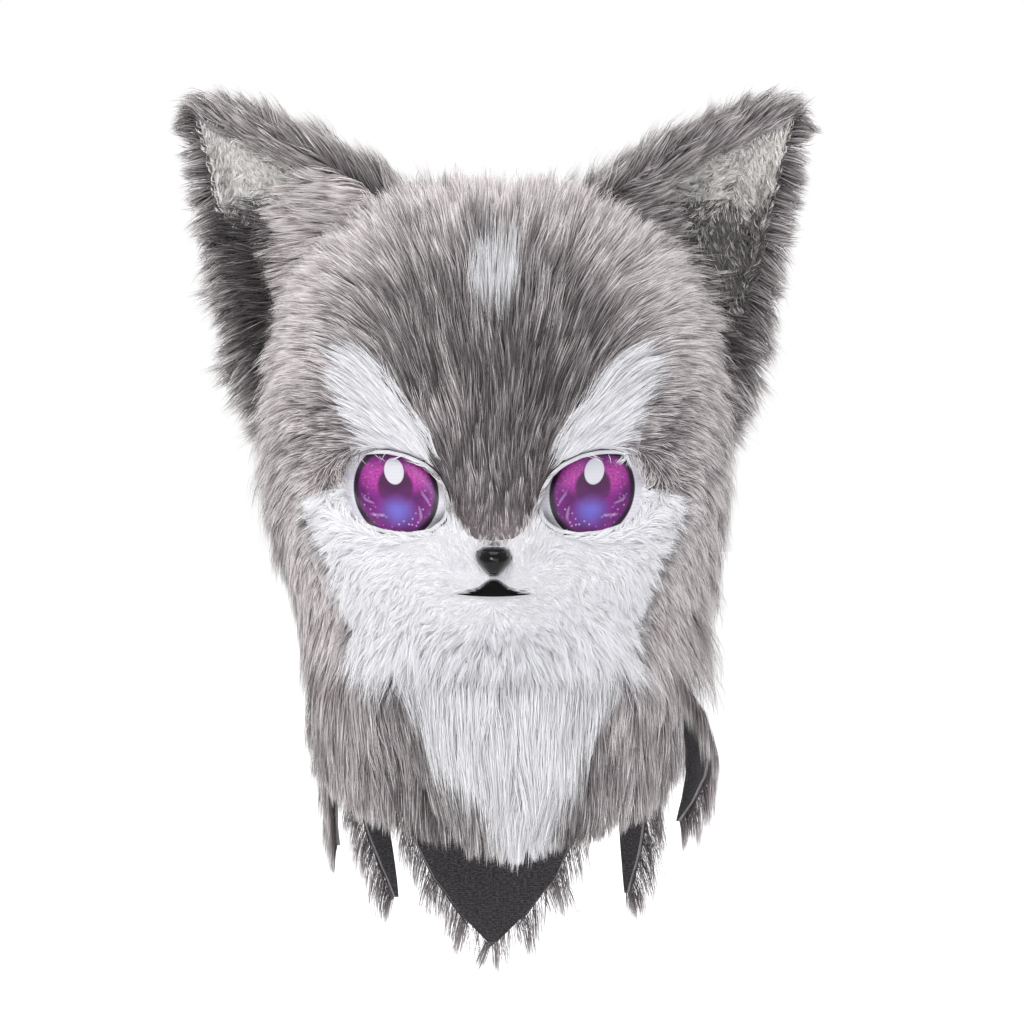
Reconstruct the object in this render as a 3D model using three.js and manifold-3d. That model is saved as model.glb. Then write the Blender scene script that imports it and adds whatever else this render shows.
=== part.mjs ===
// Wolf costume head with long grey and white pile, worn over the whole head.
// Millimetres, +Z up. The face looks along -Y, so the wearer's left is +X.
// The origin is where the wearer's crown meets the inside of the dome.
import * as THREE from "three";
import { mergeVertices } from "three/addons/utils/BufferGeometryUtils.js";
import Module from "manifold-3d";

const wasm = await Module();
wasm.setup();

// Driving sizes of the head form and its neck
const GAP = 0.3; // clearance wherever two pieces meet
const FORM_WALL = 8; // foam wall of the head form
const HEAD_WIDTH = 272; // over the foam, ear to ear
const FACE_REACH = 136; // foam, from the head's middle to the brow
const NAPE_REACH = 139; // foam, from the head's middle to the back
const HEAD_DROP = 278; // from the top of the foam to its neck edge
const NECK_FLARE = 0.03; // how much wider the neck is at the longest point
const NECK_CLOTH = 2; // backing cloth of the neck panels
const SECTION_SQUARE = 2.2; // exponent of the head's round sections

// Pile heights, measured square to the skin
const CROWN_PILE = 22;
const MASK_PILE = 9;
const BROW_PILE = 14;
const NECK_PILE = 15;
const EAR_PILE = 10;
const LINING_PILE = 5;

// Locks of pile that stand out of the fur
const LOCK_LENGTH = 34;
const LOCK_WIDTH = 20;
const LOCK_RISE = 7;
const LOCK_BITE = 4; // how deep a lock is rooted in the pile

// Ears
const EAR_HEIGHT = 141; // from the base line to the tip of the cup
const EAR_BASE = 151; // along the base line
const EAR_LEAN = 33.7; // degrees that the ear's own height rises above level
const EAR_MIDDLE_X = 98; // middle of the base line, from the head's middle
const EAR_MIDDLE_Z = -49;
const EAR_FORWARD = 14; // how far the rim stands in front of the head's middle
const EAR_HOLLOW = 40; // depth of the cup behind its rim
const EAR_TURN = 8; // degrees that the cup is turned outwards
const EAR_WALL = 5; // foam wall of the cup
const EAR_RIM_FUR = 20; // how far the pile stands out past the cup's edge

// Eyes, nose and mouth
const EYE_SPREAD = 61.5; // from the face's middle to the middle of each eye
const EYE_LEVEL = -163.5;
const EYE_WIDE = 66; // opening of the eye
const EYE_HIGH = 48;
const EYE_RIM = 2.4; // wall of the lid rim round the opening
const EYE_SINK = 6; // how far the mesh lies under the skin of the form
const EYE_MESH = 1.2; // thickness of the printed mesh
const LID_STAND = 3; // how far the rim stands out of the form
const NOSE_LEVEL = -205;
const NOSE_WIDE = 22;
const NOSE_HIGH = 17;
const NOSE_DOME = 9; // how far the nose stands out of the mask
const MOUTH_LEVEL = -221.5;
const MOUTH_WIDE = 45;
const MOUTH_HIGH = 10;
const MOUTH_FELT = 2; // thickness of the black felt in the mouth

// How finely the surfaces are divided
const COLUMNS = 24;
const FRONT_CROWDING = 0.42; // draws columns towards the face
const OUTLINE_STEPS = 17;

const EDGE_Z = FORM_WALL - HEAD_DROP; // neck edge of the form
const FRONT_BLOCK = 400; // reach of the blocks that cut panels out of the face

// Sections of the head, from the top of the dome down to the neck edge.
// Each column is a share: drop of HEAD_DROP, side of half HEAD_WIDTH,
// front of FACE_REACH and back of NAPE_REACH.
const HEAD_SECTIONS = [
  { drop: 0.0, side: 0.0, front: 0.0, back: 0.0 },
  { drop: 0.01, side: 0.33, front: 0.36, back: 0.32 },
  { drop: 0.045, side: 0.6, front: 0.64, back: 0.58 },
  { drop: 0.105, side: 0.77, front: 0.79, back: 0.76 },
  { drop: 0.18, side: 0.875, front: 0.87, back: 0.885 },
  { drop: 0.27, side: 0.945, front: 0.925, back: 0.955 },
  { drop: 0.365, side: 0.985, front: 0.96, back: 0.99 },
  { drop: 0.46, side: 1.0, front: 0.985, back: 1.0 },
  { drop: 0.555, side: 1.0, front: 1.0, back: 0.985 },
  { drop: 0.64, side: 0.98, front: 1.0, back: 0.955 },
  { drop: 0.72, side: 0.95, front: 1.0, back: 0.92 },
  { drop: 0.8, side: 0.915, front: 0.97, back: 0.88 },
  { drop: 0.89, side: 0.86, front: 0.9, back: 0.81 },
  { drop: 1.0, side: 0.81, front: 0.78, back: 0.73 },
];

// Soft swells of the face, which push the skin forwards. x and wide are shares
// of half HEAD_WIDTH, drop and high of HEAD_DROP, push of FACE_REACH.
const FACE_SWELLS = [
  { name: "muzzle", x: 0, drop: 0.79, wide: 0.26, high: 0.1, push: 0.23 },
  { name: "chin", x: 0, drop: 0.905, wide: 0.24, high: 0.045, push: 0.07 },
  { name: "bridge", x: 0, drop: 0.61, wide: 0.15, high: 0.11, push: 0.06 },
  { name: "eye hollow", x: 0.47, drop: 0.61, wide: 0.22, high: 0.08, push: -0.06 },
  { name: "brow", x: 0.45, drop: 0.47, wide: 0.3, high: 0.07, push: 0.035 },
  { name: "cheek", x: 0.64, drop: 0.78, wide: 0.24, high: 0.12, push: 0.07 },
];

// Neck panels in turn round the neck. azimuth and half are degrees, 0 at the
// face and 90 at the wearer's left. drop is below the form's neck edge, swing
// is how far the tip leans round the neck in degrees, flare is how far the tip
// stands outwards, swell the middle, and open is how far the edge on the side
// of growing azimuth stands out beyond the other.
const NECK_PANELS = [
  {
    name: "front",
    azimuth: 0,
    half: 73,
    drop: 106,
    swing: 7,
    flare: 5,
    swell: 2,
    open: 0,
    cut: "broad",
  },
  {
    name: "side_left",
    azimuth: 93,
    half: 18,
    drop: 104,
    swing: 3,
    flare: 5,
    swell: 24,
    open: -22,
    cut: "narrow",
  },
  {
    name: "back_left",
    azimuth: 129,
    half: 16,
    drop: 156,
    swing: 3,
    flare: 0,
    swell: 3,
    open: 0,
    cut: "narrow",
  },
  {
    name: "back",
    azimuth: 180,
    half: 34,
    drop: 191,
    swing: 1,
    flare: -4,
    swell: 0,
    open: 0,
    cut: "leaf",
  },
  {
    name: "back_right",
    azimuth: 231,
    half: 16,
    drop: 159,
    swing: -17,
    flare: -2,
    swell: 0,
    open: -6,
    cut: "narrow",
  },
  {
    name: "side_right",
    azimuth: 267,
    half: 18,
    drop: 120,
    swing: -4,
    flare: -12,
    swell: -2,
    open: -8,
    cut: "narrow",
  },
];

// How wide a panel is, as a share of its half angle, at shares of its drop.
const PANEL_CUTS = {
  broad: [
    { down: 0, wide: 1 },
    { down: 0.35, wide: 1 },
    { down: 0.58, wide: 0.93 },
    { down: 0.72, wide: 0.72 },
    { down: 0.83, wide: 0.48 },
    { down: 0.92, wide: 0.26 },
    { down: 1, wide: 0.05 },
  ],
  leaf: [
    { down: 0, wide: 1 },
    { down: 0.35, wide: 0.97 },
    { down: 0.6, wide: 0.82 },
    { down: 0.78, wide: 0.56 },
    { down: 0.91, wide: 0.27 },
    { down: 1, wide: 0.04 },
  ],
  narrow: [
    { down: 0, wide: 1 },
    { down: 0.3, wide: 0.86 },
    { down: 0.52, wide: 0.6 },
    { down: 0.72, wide: 0.38 },
    { down: 0.88, wide: 0.2 },
    { down: 1, wide: 0.05 },
  ],
};

// Sections of the ear cup up its height. upper and lower are the two edges
// along the base line, as shares of half EAR_BASE; hollow is a share of
// EAR_HOLLOW, and up a share of EAR_HEIGHT.
const EAR_SECTIONS = [
  { up: -0.1, upper: 0.95, lower: -1.0, hollow: 1.0 },
  { up: 0.19, upper: 0.98, lower: -0.72, hollow: 1.0 },
  { up: 0.4, upper: 0.97, lower: -0.36, hollow: 0.85 },
  { up: 0.6, upper: 0.93, lower: -0.03, hollow: 0.6 },
  { up: 0.79, upper: 0.88, lower: 0.3, hollow: 0.32 },
  { up: 0.92, upper: 0.82, lower: 0.53, hollow: 0.12 },
  { up: 1.0, upper: 0.76, lower: 0.66, hollow: 0.03 },
];

// Outlines on the face, seen from the front, for the wearer's left half.
// x is a share of half HEAD_WIDTH and drop a share of HEAD_DROP.
const MASK_EDGE = [
  { x: 0.0, drop: 0.722 },
  { x: 0.08, drop: 0.716 },
  { x: 0.135, drop: 0.698 },
  { x: 0.19, drop: 0.655 },
  { x: 0.235, drop: 0.61 },
  { x: 0.68, drop: 0.6 },
  { x: 0.93, drop: 0.63 },
  { x: 0.955, drop: 0.66 },
  { x: 0.92, drop: 0.71 },
  { x: 0.87, drop: 0.76 },
  { x: 0.78, drop: 0.86 },
  { x: 0.7, drop: 0.96 },
  { x: 0.66, drop: 1.02 },
];
const BROW_EDGE = [
  { x: 0.3, drop: 0.545 },
  { x: 0.36, drop: 0.485 },
  { x: 0.45, drop: 0.415 },
  { x: 0.56, drop: 0.35 },
  { x: 0.68, drop: 0.305 },
  { x: 0.8, drop: 0.295 },
  { x: 0.85, drop: 0.33 },
  { x: 0.79, drop: 0.39 },
  { x: 0.72, drop: 0.46 },
  { x: 0.66, drop: 0.55 },
];
const BLAZE = { x: 0, drop: 0.128, wide: 0.13, high: 0.098 };
const BIB_EDGE = [
  { x: 0.66, drop: -0.02 },
  { x: 0.5, drop: 0.19 },
  { x: 0.39, drop: 0.476 },
  { x: 0.31, drop: 0.77 },
  { x: 0.15, drop: 1.05 },
  { x: 0.05, drop: 1.35 },
];

// The eye opening, as shares of half EYE_WIDE and half EYE_HIGH. Positive x is
// away from the nose.
const EYE_EDGE = [
  { x: -0.95, z: 0.0 },
  { x: -0.78, z: 0.42 },
  { x: -0.5, z: 0.72 },
  { x: -0.1, z: 0.93 },
  { x: 0.3, z: 1.0 },
  { x: 0.7, z: 0.9 },
  { x: 0.97, z: 0.6 },
  { x: 1.0, z: 0.25 },
  { x: 0.9, z: -0.2 },
  { x: 0.7, z: -0.6 },
  { x: 0.35, z: -0.88 },
  { x: -0.1, z: -1.0 },
  { x: -0.55, z: -0.98 },
  { x: -0.87, z: -0.76 },
  { x: -1.0, z: -0.4 },
];
// The nose, as shares of half NOSE_WIDE and half NOSE_HIGH.
const NOSE_EDGE = [
  { x: 0, z: 0.93 },
  { x: 0.55, z: 1.0 },
  { x: 0.9, z: 0.72 },
  { x: 1.0, z: 0.3 },
  { x: 0.82, z: -0.15 },
  { x: 0.5, z: -0.62 },
  { x: 0.22, z: -0.95 },
  { x: 0, z: -1.02 },
];
// The mouth, as shares of half MOUTH_WIDE and half MOUTH_HIGH.
const MOUTH_EDGE = [
  { x: 0, z: 1.0 },
  { x: 0.11, z: 0.95 },
  { x: 0.38, z: -0.08 },
  { x: 0.62, z: -0.42 },
  { x: 1.0, z: -0.62 },
  { x: 0.65, z: -0.97 },
  { x: 0.3, z: -1.0 },
  { x: 0, z: -0.95 },
];

const COLOURS = {
  foam: 0x3c3c40,
  greyFur: 0x8b8785,
  whiteFur: 0xe9e8ec,
  plush: 0xe2e0de,
  cloth: 0x4a4a50,
  mesh: 0x7a2c8c,
  rim: 0xcfcdd4,
  gloss: 0x0b0b0d,
  felt: 0x08080a,
};

const radians = THREE.MathUtils.degToRad;

// A column of a table at a place along it, on a smooth curve through its rows.
function along(rows, column, place) {
  const last = rows.length - 1;
  const i = Math.min(Math.floor(place), last - 1);
  const t = place - i;
  const value = (k) => rows[Math.min(Math.max(k, 0), last)][column];
  const [a, b, c, d] = [value(i - 1), value(i), value(i + 1), value(i + 2)];
  const bend = 2 * a - 5 * b + 4 * c - d;
  const twist = 3 * b - a - 3 * c + d;
  return 0.5 * (2 * b + (c - a) * t + bend * t * t + twist * t * t * t);
}

// A column of a table where another column has a given value, on straight lines.
function lookUp(rows, from, to, value) {
  for (let i = 1; i < rows.length; i++) {
    const [a, b] = [rows[i - 1], rows[i]];
    if (value <= b[from] || i === rows.length - 1) {
      const t = THREE.MathUtils.clamp((value - a[from]) / (b[from] - a[from]), 0, 1);
      return a[to] + (b[to] - a[to]) * t;
    }
  }
  return rows[0][to];
}

const power = (value, exponent) => Math.sign(value) * Math.abs(value) ** exponent;

// A point of the bare form. place counts rows of HEAD_SECTIONS, and azimuth is
// in radians from the face towards the wearer's left.
function formPoint(place, azimuth) {
  const side = along(HEAD_SECTIONS, "side", place) * (HEAD_WIDTH / 2);
  const front = along(HEAD_SECTIONS, "front", place) * FACE_REACH;
  const back = along(HEAD_SECTIONS, "back", place) * NAPE_REACH;
  const drop = along(HEAD_SECTIONS, "drop", place);
  const bend = 2 / SECTION_SQUARE;
  const ahead = power(Math.cos(azimuth), bend);
  const x = side * power(Math.sin(azimuth), bend);
  let y = ahead > 0 ? -front * ahead : -back * ahead;
  if (ahead > 0) {
    const across = Math.abs(x) / (HEAD_WIDTH / 2);
    for (const s of FACE_SWELLS) {
      const reach = ((across - s.x) / s.wide) ** 2 + ((drop - s.drop) / s.high) ** 2;
      y -= s.push * FACE_REACH * Math.exp(-reach / 2) * Math.min(1, 2 * ahead);
    }
  }
  return new THREE.Vector3(x, y, FORM_WALL - drop * HEAD_DROP);
}

// The outward normal of a surface given as point(a, b).
function normalOf(point, a, b, stepA, stepB) {
  const alongA = point(a + stepA, b).sub(point(a - stepA, b));
  const alongB = point(a, b + stepB).sub(point(a, b - stepB));
  return alongA.cross(alongB).normalize();
}

const POLE = 0.05; // rows this near the pole look straight up
function formAt(place, azimuth, height) {
  if (place < POLE) return new THREE.Vector3(0, 0, FORM_WALL + height);
  const at = formPoint(place, azimuth);
  return at.addScaledVector(normalOf(formPoint, place, azimuth, 0.02, 0.01), height);
}

const LAST_ROW = HEAD_SECTIONS.length - 1;
const EDGE_SHARES = HEAD_SECTIONS[LAST_ROW];
const azimuths = Array.from({ length: COLUMNS }, (_, i) => {
  const even = ((i + 0.5) / COLUMNS) * 2 * Math.PI - Math.PI;
  return even - FRONT_CROWDING * Math.sin(even);
});

// Turns lists of points and triangles into a solid.
function solidFrom(points, triangles) {
  const flat = new Float32Array(points.flatMap((p) => [p.x, p.y, p.z]));
  const geometry = new THREE.BufferGeometry();
  geometry.setAttribute("position", new THREE.BufferAttribute(flat, 3));
  geometry.setIndex(triangles);
  return solidOf(geometry);
}

// Turns a closed three.js geometry into a solid.
function solidOf(geometry) {
  const plain = geometry.clone();
  plain.deleteAttribute("normal");
  plain.deleteAttribute("uv");
  const merged = mergeVertices(plain, 1e-4);
  return new wasm.Manifold(
    new wasm.Mesh({
      numProp: 3,
      vertProperties: new Float32Array(merged.attributes.position.array),
      triVerts: new Uint32Array(merged.index.array),
    }),
  );
}

const join = (solids) => solids.reduce((all, one) => all.add(one));

// The dome between two heights over the form, open at the neck edge. With no
// inner height it is solid right through.
function dome(outer, inner) {
  const points = [];
  const triangles = [];
  const skins = [];
  const layers = inner === undefined ? [outer] : [outer, inner];
  layers.forEach((height, layer) => {
    const first = points.length;
    skins.push(first);
    points.push(formAt(0, 0, height));
    for (let row = 1; row <= LAST_ROW; row++)
      for (const azimuth of azimuths) {
        const at = formAt(row, azimuth, height);
        if (row === LAST_ROW) at.z = EDGE_Z;
        points.push(at);
      }
    const index = (row, column) => first + 1 + (row - 1) * COLUMNS + (column % COLUMNS);
    const face = (a, b, c) => triangles.push(...(layer ? [a, c, b] : [a, b, c]));
    for (let c = 0; c < COLUMNS; c++) {
      face(first, index(1, c), index(1, c + 1));
      for (let row = 1; row < LAST_ROW; row++) {
        face(index(row, c), index(row + 1, c), index(row + 1, c + 1));
        face(index(row, c), index(row + 1, c + 1), index(row, c + 1));
      }
    }
  });
  const rim = (skin, column) => skins[skin] + 1 + (LAST_ROW - 1) * COLUMNS + (column % COLUMNS);
  if (inner === undefined) {
    points.push(new THREE.Vector3(0, 0, EDGE_Z));
    for (let c = 0; c < COLUMNS; c++) triangles.push(points.length - 1, rim(0, c + 1), rim(0, c));
  } else
    for (let c = 0; c < COLUMNS; c++) {
      triangles.push(rim(0, c), rim(1, c), rim(1, c + 1));
      triangles.push(rim(0, c), rim(1, c + 1), rim(0, c + 1));
    }
  return solidFrom(points, triangles);
}

// A closed outline as Vector2 points, moved outwards by a clearance.
function grown(outline, by) {
  const turn = THREE.ShapeUtils.area(outline) > 0 ? 1 : -1;
  const count = outline.length;
  return outline.map((at, i) => {
    const before = at.clone().sub(outline[(i + count - 1) % count]).normalize();
    const after = outline[(i + 1) % count].clone().sub(at).normalize();
    const out = new THREE.Vector2(before.y + after.y, -before.x - after.x).normalize();
    const miter = Math.max(0.5, out.x * before.y - out.y * before.x);
    return at.clone().addScaledVector(out, (turn * by) / miter);
  });
}

// A block that cuts an outline, drawn in X and Z, out of the front of the head.
function frontBlock(outline, by = 0, behind = 0) {
  const shape = new THREE.Shape(by ? grown(outline, by) : outline);
  const block = new THREE.ExtrudeGeometry(shape, { depth: FRONT_BLOCK, bevelEnabled: false });
  return solidOf(block.rotateX(Math.PI / 2).translate(0, -behind, 0));
}

// A smooth closed outline through points.
function smoothOutline(points, steps = OUTLINE_STEPS) {
  const bent = points.map((p) => new THREE.Vector3(p.x, p.y, 0));
  const curve = new THREE.CatmullRomCurve3(bent, true, "centripetal");
  const places = curve.getPoints(steps).slice(0, -1);
  return places.map((p) => new THREE.Vector2(p.x, p.y));
}

const faceX = (share) => share * (HEAD_WIDTH / 2);
const faceZ = (share) => FORM_WALL - share * HEAD_DROP;
const onFace = (row) => new THREE.Vector2(faceX(row.x), faceZ(row.drop));
const mirrored = (outline) => outline.map((p) => new THREE.Vector2(-p.x, p.y)).reverse();

// A half outline from the middle down, and its mirror image, as one outline.
function bothHalves(half) {
  const other = half.filter((p) => Math.abs(p.x) > GAP);
  return [...half, ...mirrored(other)];
}

function shapeAt(rows, x, z, wide, high) {
  return rows.map((r) => new THREE.Vector2(x + (r.x * wide) / 2, z + (r.z * high) / 2));
}

const maskOutline = bothHalves(MASK_EDGE.map(onFace));
const browOutline = smoothOutline(BROW_EDGE.map(onFace));
const eyeOutline = smoothOutline(
  shapeAt(EYE_EDGE, EYE_SPREAD, EYE_LEVEL, EYE_WIDE, EYE_HIGH),
);
const mouthOutline = bothHalves(shapeAt(MOUTH_EDGE, 0, MOUTH_LEVEL, MOUTH_WIDE, MOUTH_HIGH));
const noseOutline = bothHalves(shapeAt(NOSE_EDGE, 0, NOSE_LEVEL, NOSE_WIDE, NOSE_HIGH));
const blazeOutline = Array.from({ length: 14 }, (_, i) => {
  const turn = (i / 14) * 2 * Math.PI;
  const middle = onFace(BLAZE);
  const high = BLAZE.high * HEAD_DROP * Math.sin(turn);
  return middle.add(new THREE.Vector2(faceX(BLAZE.wide) * Math.cos(turn), high));
});
const panelOf = (name) => NECK_PANELS.find((p) => p.name === name);
const frontPanel = panelOf("front");
const bibLean = EDGE_SHARES.front * FACE_REACH * Math.sin(radians(frontPanel.swing));
const bibOutline = bothHalves(
  BIB_EDGE.map((r) => new THREE.Vector2(faceX(r.x), EDGE_Z - r.drop * frontPanel.drop)),
).map((p) => {
  const share = Math.max(0, EDGE_Z - p.y) / frontPanel.drop;
  return new THREE.Vector2(p.x + bibLean * share ** 2, p.y);
});

// Both of a pair: the wearer's left outline and its mirror image.
const onBothSides = { left: (outline) => outline, right: mirrored };
const SIDES = { left: 1, right: -1 };

// One lock of pile: a pointed wedge rooted in the pile. out is the way off the
// skin and flow the way that the pile lies.
function lock(root, out, flow, length, width, rise, bite) {
  const side = new THREE.Vector3().crossVectors(out, flow).normalize();
  const sunk = root.clone().addScaledVector(out, -bite);
  const points = [
    sunk.clone().addScaledVector(side, width / 2),
    sunk.clone().addScaledVector(side, -width / 2),
    root.clone().addScaledVector(flow, length * 0.25).addScaledVector(out, rise * 0.6),
    root.clone().addScaledVector(flow, length).addScaledVector(out, rise),
  ];
  return solidFrom(points, [0, 1, 2, 0, 3, 1, 1, 3, 2, 2, 3, 0]);
}

// The way that the pile lies on the head: away from the nose in front, and
// down over the sides and the back.
function pileFlow(at, out) {
  const nose = new THREE.Vector3(0, -FACE_REACH, NOSE_LEVEL);
  const away = at.clone().sub(nose).normalize();
  const behind = THREE.MathUtils.smoothstep(at.y, -FACE_REACH * 0.6, NAPE_REACH * 0.5);
  const flow = away.multiplyScalar(1 - behind);
  flow.z -= 1.2 * behind + 0.25;
  return flow.addScaledVector(out, -flow.dot(out)).normalize();
}

// Locks on the crown, sides and back. place is a row of HEAD_SECTIONS, count
// is how many locks stand in the row between the two azimuths on each side.
const LOCK_ROWS = [
  { place: 1.6, from: 20, to: 160, count: 3 },
  { place: 3.4, from: 100, to: 172, count: 3 },
  { place: 5.0, from: 112, to: 174, count: 3 },
  { place: 6.6, from: 84, to: 166, count: 4 },
  { place: 8.1, from: 80, to: 174, count: 5 },
  { place: 9.4, from: 76, to: 168, count: 4 },
  { place: 10.6, from: 72, to: 174, count: 5 },
  { place: 11.8, from: 68, to: 168, count: 5 },
];

function crownLocks() {
  const locks = [];
  for (const row of LOCK_ROWS)
    for (let i = 0; i < row.count; i++)
      for (const side of [-1, 1]) {
        const turn = row.from + ((row.to - row.from) * (i + 0.5)) / row.count;
        const azimuth = side * radians(turn);
        const out = normalOf(formPoint, row.place, azimuth, 0.02, 0.01);
        const root = formAt(row.place, azimuth, CROWN_PILE);
        const flow = pileFlow(root, out);
        locks.push(lock(root, out, flow, LOCK_LENGTH, LOCK_WIDTH, LOCK_RISE, LOCK_BITE));
      }
  return locks;
}

// A point of the ear. across runs from the upper edge (0) to the lower edge (1),
// and place counts rows of EAR_SECTIONS. Beyond those ends the ear is spread
// flat from its rim. depth is measured backwards from the cup's front face.
const EAR_ACROSS = 4;
const EAR_TIP_SHARE = 0.3; // how far the pile spreads sideways at the very tip
const EAR_ROWS = EAR_SECTIONS.length - 1;
function earPoint(place, across, depth, side, spread = 0) {
  const inCup = THREE.MathUtils.clamp(place, 0, EAR_ROWS);
  const on = THREE.MathUtils.clamp(across, 0, 1);
  const row = (column) => along(EAR_SECTIONS, column, inCup);
  const edgeUp = (row("upper") * EAR_BASE) / 2;
  const edgeLow = (row("lower") * EAR_BASE) / 2;
  const past = place > EAR_ROWS ? spread * EAR_TIP_SHARE : spread;
  const out = across < 0 ? past : across > 1 ? -past : 0;
  const over = THREE.MathUtils.lerp(edgeUp, edgeLow, on) + out;
  const height = row("up") * EAR_HEIGHT + (place > EAR_ROWS ? spread : 0);
  const lean = radians(EAR_LEAN);
  const x = EAR_MIDDLE_X + height * Math.cos(lean) - over * Math.sin(lean);
  const z = EAR_MIDDLE_Z + height * Math.sin(lean) + over * Math.cos(lean);
  const hollow = row("hollow") * EAR_HOLLOW * 4 * on * (1 - on);
  const turned = (x - EAR_MIDDLE_X) * Math.sin(radians(EAR_TURN));
  return new THREE.Vector3(side * x, hollow - EAR_FORWARD + turned + depth, z);
}

// Joins two grids of points, front and back, into a closed sheet. Each grid is
// a list of rows of points. flip is for grids that run the other way round.
function sheet(front, back, flip) {
  const [rows, wide] = [front.length, front[0].length];
  const points = [...front.flat(), ...back.flat()];
  const triangles = [];
  const at = (face, row, column) => (face * rows + row) * wide + column;
  const quad = (a, b, c, d) => triangles.push(...(flip ? [a, c, b, a, d, c] : [a, b, c, a, c, d]));
  for (let r = 0; r < rows - 1; r++)
    for (let c = 0; c < wide - 1; c++) {
      quad(at(0, r, c), at(0, r, c + 1), at(0, r + 1, c + 1), at(0, r + 1, c));
      quad(at(1, r, c), at(1, r + 1, c), at(1, r + 1, c + 1), at(1, r, c + 1));
    }
  const last = { row: rows - 1, column: wide - 1 };
  for (let r = 0; r < last.row; r++) {
    quad(at(0, r, 0), at(0, r + 1, 0), at(1, r + 1, 0), at(1, r, 0));
    const c = last.column;
    quad(at(0, r, c), at(1, r, c), at(1, r + 1, c), at(0, r + 1, c));
  }
  for (let c = 0; c < last.column; c++) {
    quad(at(0, 0, c), at(1, 0, c), at(1, 0, c + 1), at(0, 0, c + 1));
    const r = last.row;
    quad(at(0, r, c), at(0, r, c + 1), at(1, r, c + 1), at(1, r, c));
  }
  return solidFrom(points, triangles);
}

// A layer of the ear between two depths, spread flat past the rim of the cup.
function earLayer(front, back, spread, side) {
  const columns = Array.from({ length: EAR_ACROSS + 1 }, (_, i) => i / EAR_ACROSS);
  const rows = Array.from({ length: EAR_ROWS + 1 }, (_, i) => i);
  if (spread > 0) {
    columns.unshift(-1);
    columns.push(2);
    rows.push(EAR_ROWS + 1);
  }
  const face = (depth) =>
    rows.map((row) => columns.map((across) => earPoint(row, across, depth, side, spread)));
  return sheet(face(front), face(back), side < 0);
}

// Locks round the rim of the ear. edge is 0 for the upper edge, 1 for the lower.
const EAR_LOCK_SHARE = 0.55; // length, as a share of LOCK_LENGTH
const EAR_LOCKS = [
  { place: 1.9, edge: 0 },
  { place: 3.0, edge: 0 },
  { place: 4.0, edge: 0 },
  { place: 5.0, edge: 0 },
  { place: 5.9, edge: 0 },
  { place: 5.7, edge: 1 },
  { place: 4.7, edge: 1 },
  { place: 3.8, edge: 1 },
  { place: 2.9, edge: 1 },
  { place: 2.0, edge: 1 },
];

function earLocks(side) {
  return EAR_LOCKS.map(({ place, edge }) => {
    const across = edge ? 2 : -1;
    const at = (p, spread) => earPoint(p, across, EAR_WALL, side, spread);
    const root = at(place, EAR_RIM_FUR);
    const out = root.clone().sub(at(place, 0)).normalize();
    const up = at(place + 0.1, EAR_RIM_FUR).sub(at(place - 0.1, EAR_RIM_FUR)).normalize();
    const flow = up.multiplyScalar(edge ? -0.35 : 0.8).addScaledVector(out, 0.5).normalize();
    const over = new THREE.Vector3().crossVectors(out, flow).normalize();
    const off = new THREE.Vector3().crossVectors(flow, over).normalize();
    const length = LOCK_LENGTH * EAR_LOCK_SHARE;
    return lock(root, off, flow, length, LOCK_WIDTH, LOCK_RISE * 0.3, LOCK_BITE * 2);
  });
}

// A point of the neck's inner face, moved out by a height. drop is below the
// form's neck edge.
function neckPoint(azimuth, drop, height) {
  const widen = 1 + (NECK_FLARE * drop) / panelOf("back").drop;
  const side = EDGE_SHARES.side * (HEAD_WIDTH / 2) * widen + height;
  const front = EDGE_SHARES.front * FACE_REACH * widen + height;
  const back = EDGE_SHARES.back * NAPE_REACH * widen + height;
  const bend = 2 / SECTION_SQUARE;
  const ahead = power(Math.cos(azimuth), bend);
  const y = ahead > 0 ? -front * ahead : -back * ahead;
  return new THREE.Vector3(side * power(Math.sin(azimuth), bend), y, EDGE_Z - drop);
}

const SEAM = GAP / HEAD_WIDTH + 0.001; // half the gap between two panels, in radians
const PANEL_TAPER = 0.35; // pile height at a panel's tip, as a share of its own
const PANEL_STEP = 15; // degrees round the neck between a panel's columns

function panelPoint(panel, share, across, height) {
  const cut = PANEL_CUTS[panel.cut];
  const half = radians(panel.half) * lookUp(cut, "down", "wide", share) - SEAM;
  const azimuth = radians(panel.azimuth + panel.swing * share ** 2) + across * half;
  const drop = GAP + share * (panel.drop - GAP);
  const swell = panel.swell * 4 * share * (1 - share);
  const open = panel.open * share * (1 - share) * (1 + across);
  return neckPoint(azimuth, drop, height + panel.flare * share ** 2 + swell + open);
}

// A panel between two heights over the neck's inner face. The outer height may
// taper to a share of itself at the tip.
function panelLayer(panel, inner, outer, taper) {
  const rows = PANEL_CUTS[panel.cut].map((r) => r.down);
  const steps = Math.max(4, 2 * Math.ceil(panel.half / PANEL_STEP));
  const columns = Array.from({ length: steps + 1 }, (_, i) => (i / steps) * 2 - 1);
  const face = (height) =>
    rows.map((share) =>
      columns.map((across) => {
        const thick = height * THREE.MathUtils.lerp(1, taper, share ** 2);
        return panelPoint(panel, share, across, inner + thick);
      }),
    );
  return sheet(face(0), face(outer - inner), false);
}

// Locks along a panel's lower edges, on the side of growing azimuth.
const HEM_LOCKS = [
  { down: 0.5, across: 0.84 },
  { down: 0.68, across: 0.8 },
  { down: 0.84, across: 0.75 },
];
const TIP_LOCK = { down: 0.94, across: 0 };
const DOWN = new THREE.Vector3(0, 0, -1);

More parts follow.
